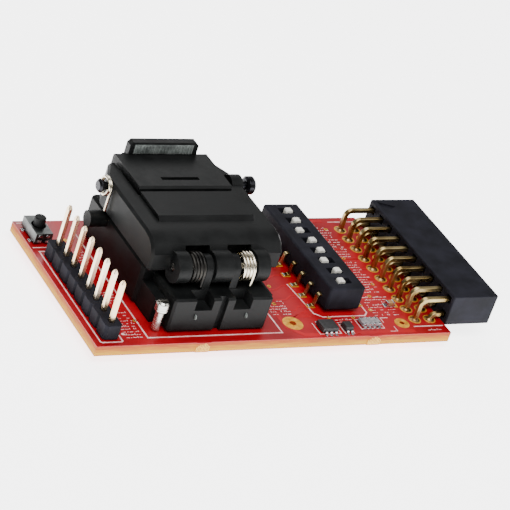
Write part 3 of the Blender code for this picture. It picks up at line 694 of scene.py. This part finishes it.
@dataclass
class BoardAndPrint:
    """The laminate with its snapped tabs, copper tracks, gold pads, vias, solder and printed legend."""

    header_x: float = 2.6
    header_y: float = 2.5
    leg_x: tuple[float, float] = (53.06, 55.6)
    tab_x: tuple[float, float] = (16.4, 44.4)
    tab_half: float = 1.05
    tab_reach: float = 0.12
    splinter: float = 0.24
    signal: float = 0.25
    fan_out: float = 0.2
    under_signal: float = 0.28
    under_bus: float = 0.5
    ground: float = 0.7
    ring: tuple[float, float] = (0.5, 0.98)
    barrel: float = 0.14
    via: tuple[float, float] = (0.14, 0.32)
    via_sides: int = 14
    plating: float = 0.03
    thick_plating: float = 0.035
    ink: float = 0.03
    ink_lift: float = 0.001
    bar_lengths: tuple[float, ...] = (0.1, 0.22, 0.5)
    bar_gap: float = 0.16
    bar_pitch: float = 0.62
    copper: float = 0.025
    seed: int = 7

    def build(self, bench: Bench) -> None:
        """Makes every piece of the board and hands it to the bench."""
        bench.refine("circuit_board", SOLDER_MASK, 0.06)
        self._splinters(bench)
        self._tracks(bench)
        self._pads(bench)
        self._solder(bench)
        self._legend(bench)

    def _splinters(self, bench: Bench) -> None:
        """Frays the two snapped tabs of the front edge: upright splinters side by side, each of random height
        and reach, tallest in the middle by a cosine law."""
        shape = Shape()
        draw = np.random.default_rng(self.seed)
        for middle in self.tab_x:
            for x in np.arange(-self.tab_half, self.tab_half, self.splinter):
                reach = -self.tab_reach - draw.uniform(0.01, 0.06)
                tall = 0.5 + 0.9 * np.cos(x / self.tab_half * 1.2) * draw.uniform(0.8, 1.0)
                foot = draw.uniform(0.05, 0.15)
                far = (middle + x + self.splinter * 0.6, 0.02, foot + tall)
                shape.block((middle + x, reach, foot), far, 0.03, 0.03)
        bench.make("snapped_tab_splinters", shape, SNAPPED_LAMINATE, "board", "red_solder_mask")

    def _tracks(self, bench: Bench) -> None:
        """Lays copper tracks under the mask as low flat ridges: straight runs joined by half-right bends."""
        over, under = Shape(), Shape()
        top = (BOARD_TOP, BOARD_TOP + self.copper)
        bottom = (-self.copper, 0.0)
        pin_end = self.header_x + 0.9
        leg_end = self.leg_x[0]
        for way in range(HEADER_WAYS):
            y = self.header_y + PITCH * way
            step = 0.45 + 0.14 * way
            over.line([(pin_end, y), (4.9, y), (4.9 + step, y + step), (8.9, y + step)], self.signal, *top)
            target = CONNECTOR_FRONT_Y + PITCH * way
            bend = 9 + way
            under.line([(pin_end, y), (bend, y), (bend + abs(target - y) * 2, target - 0.9),
                        (leg_end - 2.0, target - 0.9), (leg_end - 1.1, target)], self.under_signal, *bottom)
        for way in range(SWITCH_WAYS):
            y = SWITCH_FRONT_Y + PITCH * way
            goal = CONNECTOR_FRONT_Y + PITCH * (way + 1)
            bend = 46.3 + 0.2 * way
            over.line([(45.4, y), (bend, y), (bend + abs(goal - y), goal), (52.0, goal)], self.signal, *top)
            over.line([(36.5, y), (35.4, y), (34.5 - 0.3 * way, y - 0.9), (31.2, y - 0.9)],
                      self.signal, *top)
        for row in range(6):
            y, level = 2.3 + 0.55 * row, 4.9 + 0.3 * row
            over.line([(31.0 + row, y + 1.5), (33.5 + row * 0.5, level), (36.2, level)], self.fan_out, *top)
            under.line([(12, 6 + 3.4 * row), (24, 6 + 3.4 * row), (27, 9 + 3.4 * row), (48, 9 + 3.0 * row)],
                       self.under_bus, *bottom)
        over.line([(51.6, 0.7), (33.0, 0.7), (31.0, 2.6), (31.0, 27.0), (32.5, 28.6), (51, 28.6)],
                  self.ground, *top)
        bench.make("copper_tracks_top", over, MASKED_COPPER, "board", "red_solder_mask")
        bench.make("copper_tracks_under", under, MASKED_COPPER, "board", "red_solder_mask")

    def _pads(self, bench: Bench) -> None:
        """Places gold rings round the holes, through-plated vias and the bare pads of the front edge."""
        shape = Shape()
        holes = [(self.header_x, self.header_y + PITCH * i) for i in range(HEADER_WAYS)]
        holes += [(x, CONNECTOR_FRONT_Y + PITCH * i) for x in self.leg_x for i in range(CONNECTOR_ROWS)]
        for x, y in holes:
            shape.washer((x, y, BOARD_TOP), *self.ring, self.plating)
            shape.washer((x, y, 0.0), *self.ring, -self.plating)
        for x, y, inner, outer in FIXING_HOLES:
            shape.washer((x, y, BOARD_TOP), inner, outer, self.thick_plating)
            shape.washer((x, y, 0.0), inner, outer, -self.thick_plating)
            shape.washer((x, y, BOARD_TOP + self.plating), inner, inner + self.barrel, 0.05)
        for x, y in VIAS:
            shape.washer((x, y, BOARD_TOP), *self.via, self.plating, self.via_sides)
            shape.washer((x, y, 0.0), *self.via, -self.plating, self.via_sides)
        shape.block((51.3, 6.35, BOARD_TOP), (52.0, 7.5, BOARD_TOP + self.thick_plating), 0.1)
        bench.make("gold_pads", shape, PAD_GOLD, "board", "gold_contact")
        plugs = Shape()
        plug = self.via[0] + 0.02
        for x, y in VIAS:
            for base, sign in ((BOARD_TOP, 1), (0.0, -1)):
                plugs.turned((x, y, base), [(plug, 0.0), (plug, sign * 0.012)], sides=self.via_sides)
        bench.make("via_plugs", plugs, CHIP_EPOXY, "board", "black_moulding")

    def _solder(self, bench: Bench) -> None:
        """Adds the fillets round each tail under the board, and those round the connector's legs above it."""
        shape, upper = Shape(), Shape()
        for way in range(HEADER_WAYS):
            solder_cone(shape, self.header_x, self.header_y + PITCH * way, -1)
        for x in self.leg_x:
            for row in range(CONNECTOR_ROWS):
                y = CONNECTOR_FRONT_Y + PITCH * row
                solder_cone(shape, x, y, -1)
                solder_cone(upper, x, y, 1, height=0.45)
        bench.make("solder_fillets", shape, TIN_SOLDER, "board", "pale_gold_pin")
        # The collars' dull brown is painted shade among the legs.
        bench.make("wetted_collars", upper, SHADED_COLLAR_GOLD, "board", "gold_contact")

    def _legend(self, bench: Bench) -> None:
        """Prints part outlines as thin lines and short unlettered bars where small print would stand."""
        shape = Shape()
        low, high = BOARD_TOP + self.ink_lift, BOARD_TOP + self.ink
        for points, width in PRINTED_LINES:
            shape.line(points, width, low, high)
        draw = np.random.default_rng(self.seed)
        for x0, y0, x1, y1 in BAR_AREAS:
            for y in np.arange(y0, y1 - 0.35, self.bar_pitch):
                x = x0
                while x < x1 - 0.3:
                    long = float(draw.choice(self.bar_lengths))
                    tall = 0.3 if long < 0.2 else 0.1
                    if draw.random() > 0.2:
                        shape.block((x, y, low), (x + long, y + tall, high), 0.02)
                    x += long + self.bar_gap
        shape.turned((5.0, 2.5, low), [(0.24, 0), (0.24, self.ink)], sides=self.via_sides)
        bench.make("printed_legend", shape, LEGEND_INK, "board", "white_slider")


@dataclass
class PinHeader:
    """The eight-way header: a strip of moulded cells and eight square plated pins."""

    strip_edge: float = 0.12
    pin_edge: float = 0.07

    def build(self, bench: Bench) -> None:
        """Rounds the edges of the strip and of every pin."""
        bench.refine("header_housing", MOULDED_PBT, self.strip_edge)
        for way in range(1, HEADER_WAYS + 1):
            bench.refine(f"header_pin_{way}", PALE_GOLD, self.pin_edge)


@dataclass
class Connector:
    """The right-angle connector: its housing, twenty bent contacts and the springs in its mouths."""

    leaf_half: float = 0.3
    leaf_thick: float = 0.1
    leaf_length: float = 2.2
    leaf_set_back: float = 2.6

    def build(self, bench: Bench) -> None:
        """Rounds the housing and contacts, and adds a pair of leaf springs in every mouth."""
        bench.refine("connector_housing", MOULDED_PBT, 0.14, angle=28.0)
        for number in range(1, 2 * CONNECTOR_ROWS + 1):
            bench.refine(f"connector_contact_{number:02d}", GOLD_FLASH, 0.08)
        self._springs(bench)

    def _springs(self, bench: Bench) -> None:
        """Bends two leaves in each mouth: each dips to the middle by a sine bump and flares at its tip."""
        shape = Shape()
        low, high = bench.box("connector_housing")
        middle = (low[2] + high[2]) / 2
        along = np.linspace(0, 1, 9)
        bend = 0.42 - 0.24 * np.sin(np.pi * along) + 0.1 * along ** 4
        depth = high[0] - self.leaf_set_back + self.leaf_length * along
        half, thick = self.leaf_half, self.leaf_thick / 2
        section = np.array([(half, thick), (-half, thick), (-half, -thick), (half, -thick)])
        for column in range(CONNECTOR_ROWS):
            y = CONNECTOR_FRONT_Y + PITCH * column
            for z in (middle - PITCH / 2, middle + PITCH / 2):
                for side in (-1, 1):
                    path = np.column_stack([depth, np.full_like(depth, y), z + side * bend])
                    shape.swept(path, np.array([0.0, 1.0, 0.0]), section)
        bench.make("mouth_springs", shape, GOLD_FLASH, "board", "gold_contact")


@dataclass
class SlideSwitch:
    """The eight-way slide switch: body, white sliders and sixteen gull-wing legs on their pads."""

    leg_width: float = 0.62
    leg_thick: float = 0.2
    pad_half: float = 0.5
    solder_half: float = 0.36

    def build(self, bench: Bench) -> None:
        """Rounds body and sliders, and adds the legs, pads and solder."""
        bench.refine("switch_body", MOULDED_PBT, 0.12)
        for way in range(1, SWITCH_WAYS + 1):
            bench.refine(f"switch_slider_{way}", WHITE_NYLON, 0.12)
        low, high = bench.box("switch_body")
        legs, pads, solder = Shape(), Shape(), Shape()
        half, thick = self.leg_width / 2, self.leg_thick / 2
        section = np.array([(half, thick), (-half, thick), (-half, -thick), (half, -thick)])
        bends = np.concatenate([[(-0.3, 3.7)], arc((0.25, 3.4), 0.3, 90, 0, 4),
                                arc((0.95, 2.03), 0.3, 180, 270, 4), [(1.35, 1.73)]])
        for edge, side in ((low[0], -1), (high[0], 1)):
            for way in range(SWITCH_WAYS):
                y = SWITCH_FRONT_Y + PITCH * way
                path = np.column_stack([edge + side * bends[:, 0], np.full(len(bends), y), bends[:, 1]])
                legs.swept(path, np.array([0.0, 1.0, 0.0]), section)
                inner, outer = sorted((edge + side * 0.45, edge + side * 1.75))
                pads.block((inner, y - self.pad_half, BOARD_TOP),
                           (outer, y + self.pad_half, BOARD_TOP + 0.035), 0.08)
                toe, heel = sorted((edge + side * 1.3, edge + side * 1.6))
                solder.block((toe, y - self.solder_half, BOARD_TOP + 0.02),
                             (heel, y + self.solder_half, BOARD_TOP + 0.2), 0.1, 0.1)
        bench.make("switch_legs", legs, GOLD_FLASH, "board", "gold_contact")
        bench.make("switch_pads", pads, PAD_GOLD, "board", "gold_contact")
        bench.make("switch_solder", solder, TIN_SOLDER, "board", "pale_gold_pin")


@dataclass
class PushButton:
    """The push button: moulded body, folded nickel cover, round plunger and its four feet."""

    foot_half: float = 0.28
    solder_half: float = 0.36
    tab_span: tuple[float, float] = (0.3, 0.85)
    tab_half_thick: float = 0.06
    tab_height: float = 0.35

    def build(self, bench: Bench) -> None:
        """Rounds the body and cover, turns the plunger and adds the feet."""
        bench.refine("button_body", MOULDED_PBT, 0.08)
        # The cover's darkened nickel is painted shade.
        bench.refine("button_frame", SHADED_NICKEL_SHEET, 0.06)
        low, high = bench.box("push_button")
        centre, radius = (low + high) / 2, (high[0] - low[0]) / 2
        rim = arc((radius - 0.2, high[2] - 0.2), 0.2, 0, 80, 5)
        profile = [(radius * 0.98, low[2]), (radius * 0.98, high[2] - 0.2), *map(tuple, rim), (0.35, high[2])]
        plunger = Shape()
        plunger.turned((centre[0], centre[1], 0.0), profile, sides=32)
        bench.make("turned_plunger", plunger, SOCKET_PLASTIC, "button", "button_cap", ("push_button",))
        self._tabs(bench)
        feet, solder = Shape(), Shape()
        body_low, body_high = bench.box("button_body")
        for x, side in ((body_low[0], -1), (body_high[0], 1)):
            for y in (body_low[1] + 0.7, body_high[1] - 0.7):
                inner, outer = sorted((x - side * 0.2, x + side * 0.55))
                feet.block((inner, y - self.foot_half, BOARD_TOP + 0.03),
                           (outer, y + self.foot_half, BOARD_TOP + 0.2), 0.04, 0.04)
                inner, outer = sorted((x + side * 0.35, x + side * 0.75))
                solder.block((inner, y - self.solder_half, BOARD_TOP),
                             (outer, y + self.solder_half, BOARD_TOP + 0.12), 0.1, 0.06)
        bench.make("button_feet", feet, TIN_SOLDER, "board", "pale_gold_pin")
        bench.make("button_solder", solder, TIN_SOLDER, "board", "pale_gold_pin")

    def _tabs(self, bench: Bench) -> None:
        """Folds the cover's tabs over its front and back: two short strips with a dark gap between, in bright
        tin that paints a highlight on the darkened cover.
        """
        low, high = bench.box("button_frame")
        middle = (low[0] + high[0]) / 2
        near, far = self.tab_span
        thick = self.tab_half_thick
        tabs = Shape()
        for y in (low[1], high[1]):
            for left, right in ((-far, -near), (near, far)):
                for foot in (low[2] + 0.15, high[2] - 0.55):
                    tabs.block((middle + left, y - thick, foot),
                               (middle + right, y + thick, foot + self.tab_height), 0.03, 0.03)
        # Bright tin on the tabs: a painted highlight on the cover's metal.
        bench.make("cover_tabs_painted_highlight", tabs, TIN_SOLDER, "board", "nickel_cover")


class Wire(Enum):
    """The three coil springs by the CAD ring that each stands for."""

    LEFT_LID = "lid_spring_left"
    RIGHT_LID = "lid_spring_right"
    LATCH = "latch_spring"


@dataclass
class ClamshellSocket:
    """The chip socket: base, lid, latch, pins, coil springs, pressure pad, guide and contact block."""

    wire: float = 0.22
    lid_turns: float = 3.25
    lid_leg: float = 1.9
    latch_wire: float = 0.2
    latch_turns: float = 2.0
    latch_leg: float = 3.3
    grip_ribs: int = 20
    grip_half: float = 4.75
    rib_half: float = 0.11
    tab_depth: float = 1.2
    sill_front: float = 2.3
    mark_r: float = 0.42
    mark_side: float = 4.0
    mark_z: float = 4.2
    mark_proud: float = 0.07
    tips: int = 5
    tip_pitch: float = 0.65
    tip_reach: float = 2.6
    tip_half: tuple[float, float] = (0.5, 0.1)
    tip_heights: tuple[float, float] = (4.05, 4.75)

    def build(self, bench: Bench) -> None:
        """Rounds the mouldings, pins and screw, winds the springs and adds ribs, contact tips and pale discs
        that paint highlights on the sill.
        """
        for node, width in (("socket_base", 0.14), ("socket_lid", 0.16), ("chip_guide", 0.08)):
            bench.refine(node, SOCKET_PLASTIC, width)
        bench.refine("latch", LATCH_PLASTIC, 0.12)
        bench.refine("pressure_pad", MOULDED_PBT, 0.1)
        bench.refine("contact_block", MOULDED_PBT, 0.03)
        bench.refine("latch_pin", BLACK_OXIDE, 0.08, angle=40.0)
        bench.refine("lid_hinge_pin", TURNED_STEEL, 0.08, angle=40.0)
        bench.refine("socket_screw", TURNED_STEEL, 0.06, angle=40.0)
        for spring in (Wire.LEFT_LID, Wire.RIGHT_LID):
            self._lid_spring(bench, spring)
        self._latch_spring(bench)
        self._grip(bench)
        self._tips(bench)
        self._painted_glint_discs(bench)

    @staticmethod
    def _coil(bench: Bench, spring: Wire, wire: float, turns: float, leg: float) -> Shape:
        """Winds a helix about X that fills a CAD ring and ends in a straight leg: the angle grows evenly
        while x moves across the ring, and the leg leaves the front of the coil straight down.

        Args:
            bench: where the ring is measured.
            spring: the spring, named for its ring.
            wire: radius of the wire.
            turns: number of turns.
            leg: length of the leg.

        Returns:
            The coil's shape.
        """
        low, high = bench.box(spring.value)
        centre = (low + high) / 2
        radius = (high[2] - low[2]) / 2 - wire
        count = int(turns * 28) + 1
        turn = np.pi + np.linspace(-2 * np.pi * turns, 0, count)
        x = np.linspace(low[0] + wire, high[0] - wire, count)
        radial = np.stack([np.zeros(count), np.cos(turn), np.sin(turn)], axis=1)
        path = np.column_stack([x, centre[1] + radius * radial[:, 1], centre[2] + radius * radial[:, 2]])
        drop = path[-1] - np.outer(np.linspace(0, leg, 5)[1:], (0.0, 0.0, 1.0))
        across = np.concatenate([radial, np.repeat(radial[-1:], len(drop), 0)])
        shape = Shape()
        shape.swept(np.concatenate([path, drop]), across, CIRCLE_12 * wire)
        return shape

    def _lid_spring(self, bench: Bench, spring: Wire) -> None:
        """Winds a lid spring, whose leg goes down in front of the coil into the sill's pocket."""
        shape = self._coil(bench, spring, self.wire, self.lid_turns, self.lid_leg)
        # The left coil takes the darkened copy of the spring wire: painted shade.
        finish = SPRING_WIRE if spring is Wire.RIGHT_LID else SHADED_SPRING_WIRE
        bench.make("wound_" + spring.value, shape, finish, "board", "spring_steel", (spring.value,))

    def _latch_spring(self, bench: Bench) -> None:
        """Winds the latch spring on the pin, with one leg that hangs down towards the base's boss."""
        shape = self._coil(bench, Wire.LATCH, self.latch_wire, self.latch_turns, self.latch_leg)
        bench.make("wound_latch_spring", shape, SPRING_WIRE, "latch_arm", "spring_steel", (Wire.LATCH.value,))

    def _grip(self, bench: Bench) -> None:
        """Cuts the finger tab's grip: upright half-round ribs, evenly spaced across its front face."""
        low, high = bench.box("latch")
        middle = (low[0] + high[0]) / 2
        face = high[1] - self.tab_depth
        top, foot = high[2] - 0.35, high[2] - 1.85
        shape = Shape()
        shape.block((middle - self.grip_half, face - 0.05, foot), (middle + self.grip_half, face + 0.1, top),
                    0.15, 0.04)
        outermost = self.grip_half - 0.25
        for x in np.linspace(middle - outermost, middle + outermost, self.grip_ribs):
            shape.block((x - self.rib_half, face - 0.14, foot + 0.12),
                        (x + self.rib_half, face + 0.05, top - 0.12), 0.08, 0.06)
        bench.make("latch_grip_ribs", shape, PALE_GRIP_AND_GLINT, "latch_arm", "latch_moulding")

    def _painted_glint_discs(self, bench: Bench) -> None:
        """Sets a low plain disc on each half of the sill's front, shaped like a mould's pin mark, whose pale
        finish is a painted highlight.
        """
        low, high = bench.box("socket_base")
        middle = (low[0] + high[0]) / 2
        marks = Shape()
        profile = [(self.mark_r, 0.05), (self.mark_r, -0.02), (self.mark_r - 0.04, -self.mark_proud),
                   (0.1, -self.mark_proud)]
        for x in (middle - self.mark_side, middle + self.mark_side):
            marks.turned((x, self.sill_front, self.mark_z), profile, Axis.Y, 24)
        # Pale discs on the sill: painted highlights.
        bench.make("painted_glint_discs", marks, PALE_GRIP_AND_GLINT, "board", "socket_moulding")

    def _tips(self, bench: Bench) -> None:
        """Stands the gold contact tips in the block's slits, five to a side."""
        low, high = bench.box("contact_block")
        middle = (low[:2] + high[:2]) / 2
        long, thin = self.tip_half
        shape = Shape()
        for shift in (np.arange(self.tips) - self.tips // 2) * self.tip_pitch:
            for side in (-1, 1):
                reach = side * self.tip_reach
                for place, half in (((reach, shift), (long, thin)), ((shift, reach), (thin, long))):
                    near = (*(middle + place - half), self.tip_heights[0])
                    far = (*(middle + place + half), self.tip_heights[1])
                    shape.block(near, far, 0.05, 0.08)
        bench.make("contact_tips", shape, PAD_GOLD, "board", "gold_contact")


@dataclass
class SmallParts:
    """The chip, transistor, resistor array and capacitor of the front edge, with their leads and solder."""

    lead_width: float = 0.3
    lead_thick: float = 0.1
    pad_half: float = 0.22

    def build(self, bench: Bench) -> None:
        """Dresses the four bodies and adds their leads, end caps and pads."""
        bench.refine("logic_chip", CHIP_EPOXY, 0.06)
        bench.refine("transistor", CHIP_EPOXY, 0.06)
        bench.refine("resistor_array", GREY_CERAMIC, 0.05)
        bench.refine("capacitor", TAN_CERAMIC, 0.05)
        leads, pads = Shape(), Shape()
        self._leads(bench, leads, pads, "logic_chip", (-0.8, 0.0, 0.8))
        self._leads(bench, leads, pads, "transistor", (-0.35, 0.35))
        self._caps(bench, leads, pads, "resistor_array", 4)
        self._ends(bench, leads, pads)
        bench.make("small_leads", leads, TIN_SOLDER, "board", "pale_gold_pin")
        bench.make("small_pads", pads, TIN_SOLDER, "board", "pale_gold_pin")

    def _leads(self, bench: Bench, leads: Shape, pads: Shape, node: str, places: Sequence[float]) -> None:
        """Bends gull-wing leads out of the front and back of a chip, on pads."""
        low, high = bench.box(node)
        x = (low[0] + high[0]) / 2
        half, thick = self.lead_width / 2, self.lead_thick / 2
        section = np.array([(half, thick), (-half, thick), (-half, -thick), (half, -thick)])
        out = np.array([-0.1, 0.12, 0.2, 0.24, 0.32, 0.5])
        height = np.array([2.0, 2.0, 1.95, 1.74, 1.69, 1.69])
        for y, side in ((low[1], -1), (high[1], 1)):
            for place in places:
                path = np.column_stack([np.full(len(out), x + place), y + side * out, height])
                leads.swept(path, np.array([1.0, 0.0, 0.0]), section)
                near, far = sorted((y + side * 0.15, y + side * 0.7))
                pads.block((x + place - self.pad_half, near, BOARD_TOP),
                           (x + place + self.pad_half, far, BOARD_TOP + 0.05), 0.05, 0.02)

    def _caps(self, bench: Bench, leads: Shape, pads: Shape, node: str, ways: int) -> None:
        """Wraps tinned ends over both long sides of the resistor array."""
        low, high = bench.box(node)
        step = (high[0] - low[0]) / ways
        for way in range(ways):
            x = low[0] + step * (way + 0.5)
            for y, side in ((low[1], -1), (high[1], 1)):
                near, far = sorted((y - side * 0.3, y + side * 0.04))
                leads.block((x - 0.24, near, low[2] - 0.02), (x + 0.24, far, high[2] + 0.03), 0.05, 0.05)
                near, far = sorted((y - side * 0.1, y + side * 0.4))
                pads.block((x - 0.26, near, BOARD_TOP), (x + 0.26, far, BOARD_TOP + 0.12), 0.06, 0.06)

    @staticmethod
    def _ends(bench: Bench, leads: Shape, pads: Shape) -> None:
        """Caps both ends of the capacitor with tinned metal and solder."""
        low, high = bench.box("capacitor")
        for x, side in ((low[0], -1), (high[0], 1)):
            near, far = sorted((x - side * 0.25, x + side * 0.04))
            leads.block((near, low[1] - 0.03, low[2] - 0.02), (far, high[1] + 0.03, high[2] + 0.03),
                        0.05, 0.06)
            near, far = sorted((x - side * 0.1, x + side * 0.4))
            pads.block((near, low[1] - 0.05, BOARD_TOP), (far, high[1] + 0.05, BOARD_TOP + 0.15), 0.08, 0.08)


class StudioLight(Enum):
    """Soft lights: place in metres, size in metres, watts, and the point they face."""

    KEY = ((-0.10, -0.16, 0.42), 0.30, 2.4)
    FILL = ((0.34, -0.18, 0.26), 0.30, 0.5)
    RIM = ((0.06, 0.36, 0.34), 0.34, 1.2)


@dataclass
class Studio:
    """A plain pale floor, soft lights, white surroundings and the camera."""

    lens: float = 177.1
    sensor: float = 36.0
    camera_place: tuple[float, float, float] = (-0.188650, -0.245222, 0.179538)
    camera_turn: tuple[float, float, float] = (59.270041, -16.772849, -27.545579)
    floor_half: float = 3.0
    world_strength: float = 0.25

    def build(self) -> None:
        """Makes floor, world, lights and camera."""
        self._floor()
        self._world()
        for light in StudioLight:
            self._light(light)
        self._camera()

    def _floor(self) -> None:
        """Lays one flat sheet at the tips of the solder tails."""
        corner = self.floor_half
        sheet = [(-corner, -corner, 0), (corner, -corner, 0), (corner, corner, 0), (-corner, corner, 0)]
        mesh = bpy.data.meshes.new("studio_floor")
        mesh.from_pydata(sheet, [], [[0, 1, 2, 3]])
        mesh.materials.append(STUDIO_PAPER.material())
        floor = bpy.data.objects.new("studio_floor", mesh)
        bpy.context.scene.collection.objects.link(floor)

    def _world(self) -> None:
        """Surrounds the scene with even white light."""
        world = bpy.data.worlds.new("white_surroundings")
        world.use_nodes = True
        back = world.node_tree.nodes["Background"]
        back.inputs["Color"].default_value = linear("#FFFFFF")
        back.inputs["Strength"].default_value = self.world_strength
        bpy.context.scene.world = world

    @staticmethod
    def _light(light: StudioLight) -> None:
        """Hangs one square soft light that faces the object."""
        place, size, watts = light.value
        lamp = bpy.data.lights.new(light.name.lower(), "AREA")
        lamp.size = size
        lamp.energy = watts
        hung = bpy.data.objects.new(light.name.lower(), lamp)
        hung.location = place
        hung.rotation_euler = (-Vector(place)).to_track_quat("-Z", "Y").to_euler()
        bpy.context.scene.collection.objects.link(hung)

    def _camera(self) -> None:
        """Stands the camera at the object's front left."""
        data = bpy.data.cameras.new("camera")
        data.lens = self.lens
        data.sensor_width = self.sensor
        data.clip_start = 0.01
        camera = bpy.data.objects.new("camera", data)
        camera.location = self.camera_place
        camera.rotation_euler = [float(np.radians(angle)) for angle in self.camera_turn]
        bpy.context.scene.collection.objects.link(camera)
        bpy.context.scene.camera = camera


def main() -> None:
    """Loads the frame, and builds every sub-assembly and the studio."""
    logging.basicConfig(level=logging.INFO, format="%(name)s %(message)s")
    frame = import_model()
    bench = Bench(frame)
    for assembly in (BoardAndPrint(), PinHeader(), Connector(), SlideSwitch(), PushButton(),
                     ClamshellSocket(), SmallParts()):
        LOG.info("building %s", type(assembly).__name__)
        assembly.build(bench)
    Studio().build()


if __name__ == "__main__":
    main()
